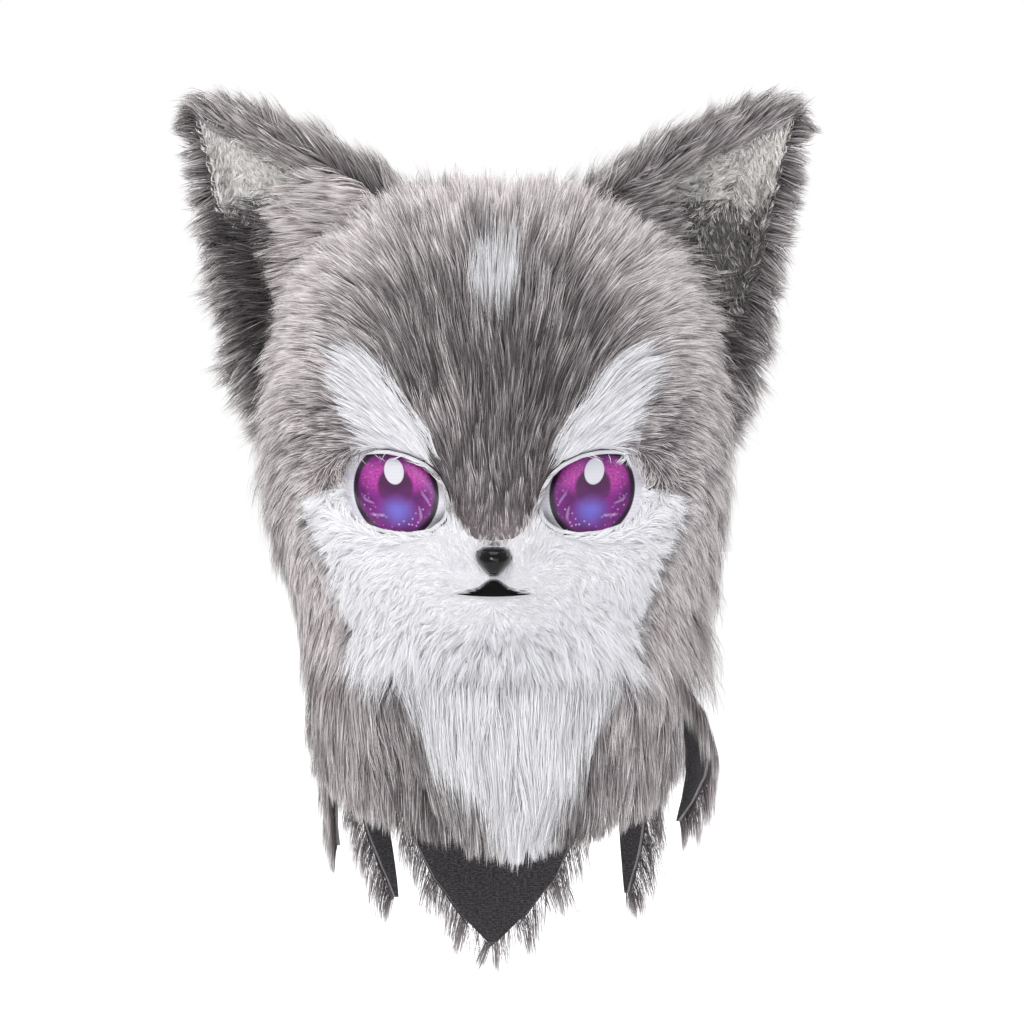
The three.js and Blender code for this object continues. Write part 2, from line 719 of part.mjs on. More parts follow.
// The locks at a list of places on a panel, all hanging straight down.
function hangingLocks(panel, inner, outer, places) {
  return places.map(({ down, across }) => {
    const thick = (outer - inner) * THREE.MathUtils.lerp(1, PANEL_TAPER, down ** 2);
    const at = (height) => panelPoint(panel, down, across, inner + height);
    const root = at(thick * 0.6);
    const out = root.clone().sub(at(0)).setZ(0).normalize();
    const width = Math.min(LOCK_WIDTH, panel.half * 0.8);
    return lock(root, out, DOWN, LOCK_LENGTH, width, LOCK_RISE * 0.5, thick * 0.5);
  });
}

// Every piece, by name.
const pieces = [];
const add = (name, solid, look) => pieces.push({ name, solid, look });

// Blocks that cut the eye openings, with a clearance.
function eyeBlocks(by) {
  return join(Object.values(onBothSides).map((way) => frontBlock(way(eyeOutline), by)));
}

function makeForm() {
  const shell = dome(0, -FORM_WALL);
  add("head_form", shell.subtract(eyeBlocks(EYE_RIM + GAP)), "foam");
}

// The ear as one solid a clearance larger than its pieces, to cut the crown.
function earRoom(side) {
  const back = EAR_WALL + GAP + EAR_PILE;
  return earLayer(-LINING_PILE - GAP, back + GAP, EAR_RIM_FUR + GAP, side);
}

function makeCrownFur() {
  const away = [
    frontBlock(maskOutline, GAP),
    frontBlock(blazeOutline, GAP),
    frontBlock(browOutline, GAP),
    frontBlock(mirrored(browOutline), GAP),
    eyeBlocks(EYE_RIM + GAP),
  ];
  const ears = Object.values(SIDES).map((side) => join([earRoom(side), ...earLocks(side)]));
  const pile = dome(CROWN_PILE, GAP).subtract(join(away));
  const fur = join([pile, ...crownLocks()]);
  add("crown_fur", fur.subtract(join(ears)), "greyFur");
}

function makeFace() {
  const mouth = frontBlock(mouthOutline);
  const nose = frontBlock(noseOutline, GAP);
  const mask = dome(MASK_PILE, GAP)
    .intersect(frontBlock(maskOutline))
    .subtract(join([mouth, nose, eyeBlocks(EYE_RIM + GAP)]));
  add("face_mask", mask, "whiteFur");
  for (const [side, way] of Object.entries(onBothSides)) {
    const brow = dome(BROW_PILE, GAP)
      .intersect(frontBlock(way(browOutline)))
      .subtract(join([eyeBlocks(EYE_RIM + GAP), frontBlock(maskOutline, GAP)]));
    add("brow_" + side, brow, "whiteFur");
  }
  add("blaze", dome(CROWN_PILE, GAP).intersect(frontBlock(blazeOutline)), "whiteFur");
}

function makeEyes() {
  for (const [side, way] of Object.entries(onBothSides)) {
    const hole = frontBlock(way(eyeOutline));
    const rim = dome(LID_STAND, -FORM_WALL).intersect(frontBlock(way(eyeOutline), EYE_RIM));
    add("eye_rim_" + side, rim.subtract(hole), "rim");
    const mesh = dome(EYE_MESH - EYE_SINK, -EYE_SINK);
    add("eye_mesh_" + side, mesh.intersect(frontBlock(way(eyeOutline), -GAP)), "mesh");
  }
}

// A domed button with the nose's outline, cut to sit on the form.
function makeNose() {
  const front = formPoint(10, 0).y - MASK_PILE;
  const rings = [
    { share: 1, out: -MASK_PILE * 2 },
    { share: 1, out: NOSE_DOME * 0.25 },
    { share: 0.86, out: NOSE_DOME * 0.7 },
    { share: 0.5, out: NOSE_DOME },
  ];
  const points = [];
  const triangles = [];
  const count = noseOutline.length;
  for (const ring of rings)
    for (const p of noseOutline) {
      const x = p.x * ring.share;
      const z = NOSE_LEVEL + (p.y - NOSE_LEVEL) * ring.share;
      points.push(new THREE.Vector3(x, front - ring.out, z));
    }
  for (let r = 1; r < rings.length; r++)
    for (let i = 0; i < count; i++) {
      const [a, b] = [(r - 1) * count + i, (r - 1) * count + ((i + 1) % count)];
      triangles.push(a, a + count, b, b, a + count, b + count);
    }
  const last = (rings.length - 1) * count;
  points.push(new THREE.Vector3(0, front + MASK_PILE * 2, NOSE_LEVEL));
  points.push(new THREE.Vector3(0, front - NOSE_DOME, NOSE_LEVEL));
  for (let i = 0; i < count; i++) {
    const next = (i + 1) % count;
    triangles.push(points.length - 2, i, next);
    triangles.push(points.length - 1, last + next, last + i);
  }
  add("nose", solidFrom(points, triangles).subtract(dome(GAP)), "gloss");
}

function makeMouth() {
  const felt = dome(GAP + MOUTH_FELT, GAP).intersect(frontBlock(mouthOutline, -GAP));
  add("mouth_felt", felt, "felt");
}

function makeEars() {
  const seat = dome(GAP);
  for (const [name, side] of Object.entries(SIDES)) {
    const cup = earLayer(0, EAR_WALL, 0, side).subtract(seat);
    const lining = earLayer(-LINING_PILE, -GAP, 0, side).subtract(seat);
    const hollow = earLayer(-FRONT_BLOCK / 4, EAR_WALL + GAP, GAP, side);
    const pelt = earLayer(-LINING_PILE, EAR_WALL + GAP + EAR_PILE, EAR_RIM_FUR, side);
    const fur = join([pelt, ...earLocks(side)]).subtract(join([hollow, seat]));
    add("ear_cup_" + name, cup, "foam");
    add("ear_lining_" + name, lining, "plush");
    add("ear_fur_" + name, fur, "greyFur");
  }
}

// A panel's pile over its cloth, with locks at some places.
function panelFur(panel, places) {
  const inner = NECK_CLOTH + GAP;
  const outer = inner + NECK_PILE;
  const pile = panelLayer(panel, inner, outer, PANEL_TAPER);
  return join([pile, ...hangingLocks(panel, inner, outer, places)]);
}

// The white bib down the middle of the front panel and the grey pile beside it.
function makeThroat(panel) {
  add("bib_fur", panelFur(panel, [TIP_LOCK]).intersect(frontBlock(bibOutline)), "whiteFur");
  const bib = frontBlock(bibOutline, GAP);
  for (const [name, side] of Object.entries(SIDES)) {
    const places = HEM_LOCKS.map((p) => ({ down: p.down, across: side * p.across }));
    const half = new THREE.BoxGeometry(FRONT_BLOCK, FRONT_BLOCK * 2, FRONT_BLOCK * 2);
    half.translate((side * FRONT_BLOCK) / 2, 0, EDGE_Z);
    const fur = panelFur(panel, places).intersect(solidOf(half));
    add("throat_fur_" + name, fur.subtract(bib), "greyFur");
  }
}

function makeNeck() {
  for (const panel of NECK_PANELS) {
    add("neck_panel_" + panel.name, panelLayer(panel, 0, NECK_CLOTH, 1), "cloth");
    const mirrorHems = HEM_LOCKS.map((p) => ({ down: p.down, across: -p.across }));
    if (panel.name === "front") makeThroat(panel);
    else
      add(
        "neck_fur_" + panel.name,
        panelFur(panel, [...HEM_LOCKS, ...mirrorHems, TIP_LOCK]),
        "greyFur",
      );
  }
}

const FINISHES = {
  foam: { roughness: 0.95 },
  greyFur: { roughness: 0.85 },
  whiteFur: { roughness: 0.85 },
  plush: { roughness: 0.9 },
  cloth: { roughness: 0.95 },
  mesh: { roughness: 0.7 },
  rim: { roughness: 0.8 },
  gloss: { roughness: 0.12 },
  felt: { roughness: 0.95 },
};

function meshOf({ name, solid, look }) {
  const made = solid.getMesh();
  const geometry = new THREE.BufferGeometry();
  geometry.setAttribute("position", new THREE.BufferAttribute(made.vertProperties, 3));
  geometry.setIndex(new THREE.BufferAttribute(made.triVerts, 1));
  const finish = { color: COLOURS[look], metalness: 0, ...FINISHES[look] };
  const mesh = new THREE.Mesh(geometry, new THREE.MeshStandardMaterial(finish));
  mesh.name = name;
  return mesh;
}

makeForm();
makeCrownFur();
makeFace();
makeEyes();
makeNose();
makeMouth();
makeEars();
makeNeck();

const head = new THREE.Group();
head.name = "wolf_costume_head";
head.add(...pieces.map(meshOf));
export default head;
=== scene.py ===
"""Fursuit head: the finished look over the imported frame, laid out as an add-on and run as a script."""
import math
from functools import partial

import bmesh
import bpy
import numpy as np
from bpy.props import FloatProperty, FloatVectorProperty, IntProperty, PointerProperty
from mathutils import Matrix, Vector, noise
from mathutils.bvhtree import BVHTree
from mathutils.kdtree import KDTree


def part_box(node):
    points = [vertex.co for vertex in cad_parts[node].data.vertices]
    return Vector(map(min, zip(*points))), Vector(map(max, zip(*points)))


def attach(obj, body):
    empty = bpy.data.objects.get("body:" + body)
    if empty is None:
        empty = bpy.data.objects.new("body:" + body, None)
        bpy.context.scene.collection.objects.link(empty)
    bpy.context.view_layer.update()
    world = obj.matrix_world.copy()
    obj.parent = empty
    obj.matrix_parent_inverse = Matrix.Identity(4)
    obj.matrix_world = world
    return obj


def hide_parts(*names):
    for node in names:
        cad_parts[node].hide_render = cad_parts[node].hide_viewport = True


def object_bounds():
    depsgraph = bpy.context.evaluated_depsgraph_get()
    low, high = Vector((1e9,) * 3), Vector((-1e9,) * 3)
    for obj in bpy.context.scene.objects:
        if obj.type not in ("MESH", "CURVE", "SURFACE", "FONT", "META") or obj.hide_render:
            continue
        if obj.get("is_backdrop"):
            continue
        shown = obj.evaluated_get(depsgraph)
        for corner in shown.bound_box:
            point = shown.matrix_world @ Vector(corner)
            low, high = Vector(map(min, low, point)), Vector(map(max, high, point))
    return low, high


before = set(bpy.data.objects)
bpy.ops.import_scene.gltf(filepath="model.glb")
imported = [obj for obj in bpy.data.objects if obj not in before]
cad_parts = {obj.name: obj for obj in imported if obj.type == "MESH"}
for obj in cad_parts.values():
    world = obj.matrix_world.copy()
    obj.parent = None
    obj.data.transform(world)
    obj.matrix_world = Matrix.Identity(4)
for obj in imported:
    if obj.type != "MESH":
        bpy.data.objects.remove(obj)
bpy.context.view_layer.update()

bl_info = {
    "name": "Fursuit head",
    "version": (1, 0, 0),
    "blender": (4, 5, 0),
    "location": "3D View > Sidebar > Head",
    "description": "Builds the pile, plush, cloth, eyes and trim of a worn wolf head",
    "category": "Object",
}

MM = 0.001
TINY = 1e-9
HEAD_CENTRE = np.array((0.0, 0.0, -0.130))
HEAD_BACK = 0.02  # the sparse, wide strands of the back start behind this y
NECK_RADIUS = 0.105
SIDE_PANEL = {"lift": 14.0, "stand": 0.45}
NECK = {"side_left": SIDE_PANEL, "side_right": SIDE_PANEL, "back_left": {}, "back_right": {}, "back": {"over": 0.026}}
FLEECE = {"grey_fur": "grey fleece", "white_fur": "white fleece", "plush": "plush fleece"}
PILE = {"grey_fur": "grey pile", "white_fur": "white pile", "plush": "ear plush"}
WHITE = (1.0, 1.0, 1.0, 1.0)
PALETTE = "OFBake"

# How the pile lies on the head, on one side; the other side mirrors it. Each row holds azimuth and elevation about the
# middle of the head in degrees (azimuth 0 is the nose), the flow sideways and up, the pile's length in mm and how
# light it is.
PILE_GUIDES = (
    (0, -26, 0, 1, 6, 0.16), (7, -24, 0.1, 1, 7, 0.22),
    (0, -17, 0, 1, 16, 0.13), (10, -15, 0.1, 1, 15, 0.20),
    (0, -6, 0, 1, 27, 0.10), (12, -5, 0.12, 1, 24, 0.17),
    (0, 8, 0, 1, 37, 0.04), (14, 8, 0.2, 1, 35, 0.09),
    (22, 16, 0.4, 1, 35, 0.22), (0, 26, 0, 1, 39, 0.08), (16, 28, 0.28, 1, 38, 0.17),
    (0, 46, 0, 1, 41, 0.42), (22, 46, 0.45, 1, 41, 0.5), (0, 62, 0, 1, 48, 0.9), (40, 60, 0.8, 0.8, 54, 0.85),
    (0, 80, 0, 1, 56, 0.9), (90, 74, 1, 0.1, 58, 0.75), (180, 74, 0, -1, 40, 0.6),
    (31, 30, 0.62, 0.8, 35, 0.36), (42, 36, 0.9, 0.42, 34, 0.72), (40, 50, 0.8, 0.75, 37, 0.7),
    (20, -4, 0.55, 0.8, 17, 0.5), (26, 4, 0.66, 0.75, 22, 0.45), (36, 13, 0.8, 0.6, 25, 0.5), (46, 20, 0.95, 0.3, 27, 0.72),
    (56, 22, 1, -0.05, 30, 1.0), (58, 34, 1, 0.1, 36, 1.05), (68, 28, 1, -0.1, 40, 1.05), (66, 14, 1, -0.3, 34, 0.95),
    (52, 10, 0.95, 0.05, 23, 0.62), (44, 2, 0.95, 0.1, 17, 0.5), (52, -2, 0.95, -0.25, 22, 0.6),
    (62, 2, 0.9, -0.45, 30, 0.78), (76, 14, 0.85, -0.5, 38, 0.85), (80, 0, 0.6, -0.8, 40, 0.8),
    (70, -10, 0.75, -0.65, 34, 0.8), (84, -20, 0.25, -1, 38, 0.72), (84, -42, 0, -1, 40, 0.8), (84, -52, 0, -1, 44, 0.8),
    (10, -30, 0.8, -0.3, 6, 1), (18, -22, 0.9, -0.3, 6, 1), (30, -21, 0.85, -0.5, 7, 1), (42, -19, 0.9, -0.4, 10, 1),
    (52, -16, 0.9, -0.45, 15, 1), (62, -18, 0.75, -0.65, 22, 1), (66, -30, 0.5, -0.85, 27, 1), (52, -34, 0.5, -0.85, 19, 1),
    (0, -40, 0, -1, 7, 1), (8, -36, 0.7, -0.5, 6, 1), (20, -36, 0.4, -0.9, 8, 1), (36, -36, 0.4, -0.9, 13, 1),
    (0, -46, 0, -1, 17, 1), (24, -46, 0.15, -1, 21, 1), (50, -46, 0.15, -1, 29, 1),
    (0, -53, 0, -1, 40, 1), (24, -53, 0.1, -1, 40, 1), (50, -53, 0.1, -1, 40, 1),
    (104, 20, 0.4, -0.9, 36, 0.7), (106, -20, 0.05, -1, 36, 0.62), (108, -45, 0, -1, 40, 0.6),
    (125, 55, 0.4, -0.85, 36, 0.6), (140, 30, 0.15, -1, 36, 0.56), (140, -10, 0, -1, 36, 0.52), (140, -45, 0, -1, 40, 0.5),
    (180, 45, 0, -1, 36, 0.56), (180, 15, 0, -1, 36, 0.54), (180, -15, 0, -1, 36, 0.5), (180, -45, 0, -1, 40, 0.5),
)


# ---------------------------------------------------------------- sizes and colours

def number_of(name, description, default, least=500):
    return IntProperty(name=name, description=description, default=default, min=least)


def metres(name, description, default):
    return FloatProperty(name=name, description=description, default=default, unit="LENGTH")


def tint(name, description, *default):
    return FloatVectorProperty(name=name, description=description, subtype="COLOR", size=3, default=default)


class HeadPileSizes(bpy.types.PropertyGroup):
    crown_strands: number_of("Crown strands", "Strands of long pile on the head", 142000, 1000)
    face_strands: number_of("Face strands", "Strands of short white pile on the face", 43500, 1000)
    ear_strands: number_of("Ear strands", "Strands of grey pile on each ear", 12500)
    plush_strands: number_of("Plush strands", "Tufts of plush in each ear", 6500)
    bib_strands: number_of("Bib strands", "Strands of the white bib", 10600)
    throat_strands: number_of("Throat strands", "Strands beside the bib, each side", 5200, 200)
    hem_strands: number_of("Neck strands", "Strands on each narrow neck panel", 2700, 200)
    long_pile: metres("Neck pile length", "Length of the pile below the head", 0.044)
    ear_pile: metres("Ear pile length", "Length of the pile on the ears", 0.027)
    plush_pile: metres("Plush length", "Length of the plush in the ears", 0.0085)
    strand_width: metres("Strand width", "Width of a strand of long pile", 0.00036)


class HeadPileColours(bpy.types.PropertyGroup):
    grey_root: tint("Grey root", "Grey pile at the backing", 0.050, 0.042, 0.045)
    grey_middle: tint("Grey middle", "Grey pile at half its length", 0.27, 0.243, 0.248)
    grey_tip: tint("Grey tip", "Frosted ends of the grey pile", 0.80, 0.770, 0.770)
    white_root: tint("White root", "White pile at the backing", 0.74, 0.735, 0.77)
    white_tip: tint("White tip", "Ends of the white pile", 0.90, 0.90, 0.93)
    plush: tint("Plush", "Off-white plush in the ears", 0.90, 0.875, 0.85)


class HeadTrimSizes(bpy.types.PropertyGroup):
    iris_half_width: metres("Iris half width", "Half the width of the printed iris", 0.0262)
    iris_half_height: metres("Iris half height", "Half the height of the printed iris", 0.0285)
    iris_centre_x: metres("Iris from the middle", "How far an iris stands from the middle", 0.0600)
    iris_centre_z: metres("Iris level", "Height of the irises", -0.1630)
    iris: tint("Iris", "Main colour of the iris", 0.20, 0.010, 0.22)
    glow: tint("Iris glow", "Glow low in the iris", 0.17, 0.17, 0.72)
    cloth: tint("Knit backing", "Charcoal knit of the neck panels", 0.076, 0.071, 0.078)
    cloth_wave: metres("Cloth wave", "How far the neck panels ripple", 0.0018)


class HeadStageSizes(bpy.types.PropertyGroup):
    camera_distance: metres("Camera distance", "From the middle of the head", 2.6)
    lens: FloatProperty(name="Lens", description="Focal length in mm on a 36 mm sensor", default=142.8)
    floor_size: metres("Floor size", "Width of the plain floor", 60.0)


def sizes(group):
    return getattr(bpy.context.scene, group)


# ---------------------------------------------------------------- shader helpers

def feed(tree, sockets, values):
    """Put each value into its socket, as a link where it comes out of another node."""
    for key, value in values.items():
        if isinstance(value, bpy.types.NodeSocket):
            tree.links.new(value, sockets[key])
        else:
            sockets[key].default_value = value


def node(tree, kind, inputs=None, **settings):
    made = tree.nodes.new(kind)
    for key, value in settings.items():
        setattr(made, key, value)
    feed(tree, made.inputs, inputs or {})
    return made


def maths(tree, operation, first, second=0.0, third=0.0):
    return node(tree, "ShaderNodeMath", {0: first, 1: second, 2: third}, operation=operation).outputs[0]


def product(tree, first, second):
    return maths(tree, "MULTIPLY", first, second)


def span(tree, value, low, high, to_low=0.0, to_high=1.0, smooth=True):
    """value from low..high onto to_low..to_high, held at the ends."""
    ends = {"Value": value, "From Min": low, "From Max": high, "To Min": to_low, "To Max": to_high}
    way = "SMOOTHSTEP" if smooth else "LINEAR"
    return node(tree, "ShaderNodeMapRange", ends, interpolation_type=way, clamp=True).outputs["Result"]


def cloudy(tree, spot, scale, detail, roughness=0.5):
    inputs = {"Vector": spot, "Scale": scale, "Detail": detail, "Roughness": roughness}
    return node(tree, "ShaderNodeTexNoise", inputs).outputs["Fac"]


def vector(tree, x, y, z):
    return node(tree, "ShaderNodeCombineXYZ", {0: x, 1: y, 2: z}).outputs[0]


def split(tree, spot):
    return node(tree, "ShaderNodeSeparateXYZ", {0: spot}).outputs


def palette_place(tree):
    """The palette place of a point: across and along."""
    return split(tree, node(tree, "ShaderNodeUVMap", uv_map=PALETTE).outputs[0])


def rgba(colour):
    """A colour with its alpha. A socket stays as it is."""
    if isinstance(colour, bpy.types.NodeSocket):
        return colour
    return tuple(colour) + (1.0,) * (4 - len(colour))


def dim(colour, share):
    return [c * share for c in colour]


def blend_colours(tree, factor, first, second, way="MIX"):
    made = node(tree, "ShaderNodeMix", data_type="RGBA", blend_type=way)
    feed(tree, made.inputs, {0: factor, 6: rgba(first), 7: rgba(second)})
    return made.outputs[2]


def shaded(tree, colour, light):
    """A colour times a lightness."""
    grey = node(tree, "ShaderNodeCombineColor", {0: light, 1: light, 2: light}).outputs[0]
    return blend_colours(tree, 1.0, colour, grey, "MULTIPLY")


def place(tree, group, values):
    """The outputs of a node group placed in a material with its own values."""
    return node(tree, "ShaderNodeGroup", values, node_tree=group).outputs


def bumped(tree, shader, height, strength, distance):
    rise = node(tree, "ShaderNodeBump", {"Height": height, "Strength": strength, "Distance": distance})
    feed(tree, shader.inputs, {"Normal": rise.outputs[0]})


def material(name, roughness, specular, sheen=0.0, coat=0.0, coat_roughness=0.1):
    made = bpy.data.materials.new(name)
    made.use_nodes = True
    shader = made.node_tree.nodes["Principled BSDF"]
    feed(made.node_tree, shader.inputs, {
        "Roughness": roughness, "Specular IOR Level": specular, "Sheen Weight": sheen, "Sheen Roughness": 0.4,
        "Coat Weight": coat, "Coat Roughness": coat_roughness})
    return made, made.node_tree, shader


def shader_group(name, inputs, outputs):
    """A new node group: its tree, what it is given and what it puts out."""
    tree = bpy.data.node_groups.new(name, "ShaderNodeTree")
    for key, value in inputs.items():
        kind = "NodeSocketFloat" if isinstance(value, float) else "NodeSocketColor"
        tree.interface.new_socket(key, in_out="INPUT", socket_type=kind).default_value = value
    for key in outputs:
        kind = "NodeSocketColor" if key == "Color" else "NodeSocketFloat"
        tree.interface.new_socket(key, in_out="OUTPUT", socket_type=kind)
    return tree, node(tree, "NodeGroupInput").outputs, node(tree, "NodeGroupOutput").inputs


def pile_group():
    """Colour of a strand from its palette place: across is its tone, along runs from root to tip."""
    name = "Pile colour"
    if name in bpy.data.node_groups:
        return bpy.data.node_groups[name]
    tree, given, put = shader_group(name, {
        "Root": (0.05, 0.05, 0.05, 1), "Middle": (0.2, 0.2, 0.2, 1), "Tip": (0.6, 0.6, 0.6, 1),
        "Ceiling": (0.97, 0.97, 1, 1), "Root Reach": 0.35, "Tip Start": 0.45, "Darkest": 0.45, "Lightest": 1.5,
    }, ("Color", "Roughness"))
    tone, along, _ = palette_place(tree)
    root = blend_colours(tree, span(tree, tone, 0.25, 1.0, 0.0, 0.75), given["Root"], given["Middle"])
    low = blend_colours(tree, span(tree, along, 0.02, given["Root Reach"]), root, given["Middle"])
    tips = product(tree, span(tree, along, given["Tip Start"], 1.0), span(tree, tone, 0.05, 0.85, 0.25, 1.0))
    whole = blend_colours(tree, tips, low, given["Tip"])
    lit = shaded(tree, whole, span(tree, tone, 0.0, 1.0, given["Darkest"], given["Lightest"], smooth=False))
    feed(tree, put, {"Color": blend_colours(tree, 1.0, lit, given["Ceiling"], "DARKEN"),
                     "Roughness": span(tree, along, 0.0, 1.0, 0.72, 0.48)})
    return tree


def grain_group():
    """Fine uneven grain of felt, foam and fleece: a mask and a height."""
    name = "Fibre grain"
    if name in bpy.data.node_groups:
        return bpy.data.node_groups[name]
    tree, given, put = shader_group(name, {"Scale": 600.0, "Contrast": 0.5}, ("Mask", "Height"))
    spot = node(tree, "ShaderNodeTexCoord").outputs["Object"]
    fine = cloudy(tree, spot, given["Scale"], 4.0, 0.65)
    broad = cloudy(tree, spot, product(tree, given["Scale"], 0.06), 2.0)
    both = maths(tree, "MULTIPLY_ADD", broad, 0.35, product(tree, fine, 0.65))
    half = product(tree, given["Contrast"], 0.5)
    mask = span(tree, both, maths(tree, "SUBTRACT", 0.5, half), maths(tree, "ADD", 0.5, half))
    feed(tree, put, {"Mask": mask, "Height": fine})
    return tree


def knit_group():
    """Fine knit: rows of loops round the neck with heathered flecks."""
    name = "Heathered knit"
    if name in bpy.data.node_groups:
        return bpy.data.node_groups[name]
    tree, given, put = shader_group(name, {"Loops Per Metre": 900.0}, ("Loops", "Flecks"))
    x, y, z = split(tree, node(tree, "ShaderNodeTexCoord").outputs["Object"])
    turn = product(tree, maths(tree, "ARCTAN2", x, y), NECK_RADIUS)
    across, down = (
        maths(tree, "SINE", product(tree, product(tree, way, given["Loops Per Metre"]), pitch))
        for way, pitch in ((turn, 6.283), (z, 5.0)))
    loops = maths(tree, "MULTIPLY_ADD", across, 0.3, maths(tree, "MULTIPLY_ADD", down, 0.2, 0.5))
    flecks = cloudy(tree, vector(tree, turn, product(tree, z, 2.6), 0.0), 420.0, 5.0, 0.75)
    feed(tree, put, {"Loops": loops, "Flecks": span(tree, flecks, 0.4, 0.66)})
    return tree


def pile_material(name, root, middle, tip, darkest, lightest, root_reach, tip_start, ceiling):
    made, tree, shader = material(name, 0.55, 0.28)
    colour = place(tree, pile_group(), {
        "Root": rgba(root), "Middle": rgba(middle), "Tip": rgba(tip), "Root Reach": root_reach,
        "Tip Start": tip_start, "Darkest": darkest, "Lightest": lightest, "Ceiling": rgba(ceiling)})
    feed(tree, shader.inputs, {"Base Color": colour["Color"], "Roughness": colour["Roughness"]})
    return made


def grained(name, dark, light, scale, bump, roughness=0.85, specular=0.25, sheen=0.0):
    made, tree, shader = material(name, roughness, specular, sheen)
    grain = place(tree, grain_group(), {"Scale": scale, "Contrast": 0.4})
    feed(tree, shader.inputs, {"Base Color": blend_colours(tree, grain["Mask"], dark, light)})
    bumped(tree, shader, grain["Height"], 0.8, bump)
    return made


def knit_backing(name):
    made, tree, shader = material(name, 0.9, 0.2, sheen=0.15)
    knit = place(tree, knit_group(), {"Loops Per Metre": 900.0})
    cloth = sizes("head_trim").cloth
    base = blend_colours(tree, knit["Flecks"], dim(cloth, 0.6), dim(cloth, 2.1))
    shade = span(tree, knit["Loops"], 0.0, 1.0, 0.72, 1.12)
    feed(tree, shader.inputs, {"Base Color": shaded(tree, base, shade)})
    bumped(tree, shader, knit["Loops"], 0.6, 0.0003)
    return made


def nose_gloss(name):
    made, tree, shader = material(name, 0.2, 0.08, coat=0.45, coat_roughness=0.05)
    mask = place(tree, grain_group(), {"Scale": 260.0, "Contrast": 0.5})["Mask"]
    black = blend_colours(tree, mask, (0.002, 0.002, 0.0022), (0.006, 0.006, 0.0065))
    feed(tree, shader.inputs, {"Base Color": black, "Roughness": span(tree, mask, 0.0, 1.0, 0.09, 0.2)})
    return made


def floor_finish(name):
    """White that the camera sees brighter than the head does."""
    made, tree, shader = material(name, 0.8, 0.2)
    mask = place(tree, grain_group(), {"Scale": 40.0, "Contrast": 0.9})["Mask"]
    white = blend_colours(tree, mask, (0.86, 0.86, 0.865), (0.88, 0.88, 0.885))
    seen = node(tree, "ShaderNodeLightPath").outputs["Is Camera Ray"]
    feed(tree, shader.inputs, {"Base Color": white, "Emission Color": WHITE,
                               "Emission Strength": span(tree, seen, 0.0, 1.0, 0.2, 0.75, smooth=False)})
    return made


def finish_named(name):
    """The material of this name, made when it is first asked for."""
    if name in bpy.data.materials:
        return bpy.data.materials[name]
    hue = sizes("head_colours")
    root, middle, tip, plush = hue.grey_root, hue.grey_middle, hue.grey_tip, hue.plush
    grey_ceiling, white_ceiling = (0.86, 0.82, 0.815), (0.97, 0.97, 1.0)
    piles = {
        "grey pile": (root, middle, tip, 0.18, 2.2, 0.35, 0.45, grey_ceiling),
        "ear pile": (dim(root, 0.7), dim(middle, 0.8), tip, 0.45, 1.75, 0.5, 0.42, grey_ceiling),
        "white pile": (hue.white_root, hue.white_tip, hue.white_tip, 0.55, 1.12, 0.3, 0.5, white_ceiling),
        # The plush's very dark end is there for the painted shade deep in the left ear.
        "ear plush": (dim(plush, 0.8), plush, plush, 0.10, 1.4, 0.4, 0.5, white_ceiling),
    }
    fabrics = {
        "grey fleece": (dim(root, 1.8), dim(root, 4.4), 900.0, 0.0012),
        "white fleece": ((0.62, 0.61, 0.64), hue.white_root, 900.0, 0.0010),
        "plush fleece": (dim(plush, 0.75), dim(plush, 0.95), 900.0, 0.0010),
        "foam": ((0.020, 0.020, 0.023), (0.055, 0.055, 0.060), 1400.0, 0.0008),
        "eye felt": ((0.64, 0.63, 0.67), (0.76, 0.75, 0.79), 1800.0, 0.0003, 0.85, 0.25, 0.2),
        "mouth felt": ((0.0015, 0.0015, 0.002), (0.004, 0.004, 0.0045), 1600.0, 0.0003, 0.6, 0.08),
        "cut edge": ((0.20, 0.19, 0.205), (0.42, 0.41, 0.43), 1500.0, 0.0004),
    }
    if name in piles:
        return pile_material(name, *piles[name])
    if name in fabrics:
        return grained(name, *fabrics[name])
    return {"knit backing": knit_backing, "nose gloss": nose_gloss, "floor": floor_finish}[name](name)


# ---------------------------------------------------------------- mesh helpers

def unit(vectors):
    return vectors / np.maximum(np.linalg.norm(vectors, axis=-1, keepdims=True), TINY)


def dots(a, b):
    return (a * b).sum(-1, keepdims=True)


def node_mesh(*names):
    points, triangles, first = [], [], 0
    for name in names:
        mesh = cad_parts[name].data
        mesh.calc_loop_triangles()
        co = np.empty(len(mesh.vertices) * 3)
        mesh.vertices.foreach_get("co", co)
        corners = np.empty(len(mesh.loop_triangles) * 3, dtype=np.int32)
        mesh.loop_triangles.foreach_get("vertices", corners)
        points.append(co.reshape(-1, 3))
        triangles.append(corners.reshape(-1, 3) + first)
        first += len(mesh.vertices)
    return np.concatenate(points), np.concatenate(triangles)


def node_tree(*names):
    points, triangles = node_mesh(*names)
    return BVHTree.FromPolygons(points.tolist(), triangles.tolist())


def scatter(names, count, rng):
    """count points spread evenly over some CAD nodes, with the normals of their faces."""
    points, triangles = node_mesh(*names)
    a, b, c = (points[triangles[:, i]] for i in range(3))
    cross = np.cross(b - a, c - a)
    area = np.linalg.norm(cross, axis=1)
    picked = rng.choice(len(area), size=count, p=area / area.sum())
    u, v = rng.random(count), rng.random(count)
    over = u + v > 1
    u[over], v[over] = 1 - u[over], 1 - v[over]
    spots = a[picked] + (b - a)[picked] * u[:, None] + (c - a)[picked] * v[:, None]
    return spots, unit(cross[picked])


def nearest(tree, spots):
    found = np.empty_like(spots)
    for i, spot in enumerate(spots.tolist()):
        found[i] = tree.find_nearest(spot)[0]
    return found


def link(name, mesh):
    made = bpy.data.objects.new(name, mesh)
    bpy.context.scene.collection.objects.link(made)
    return made


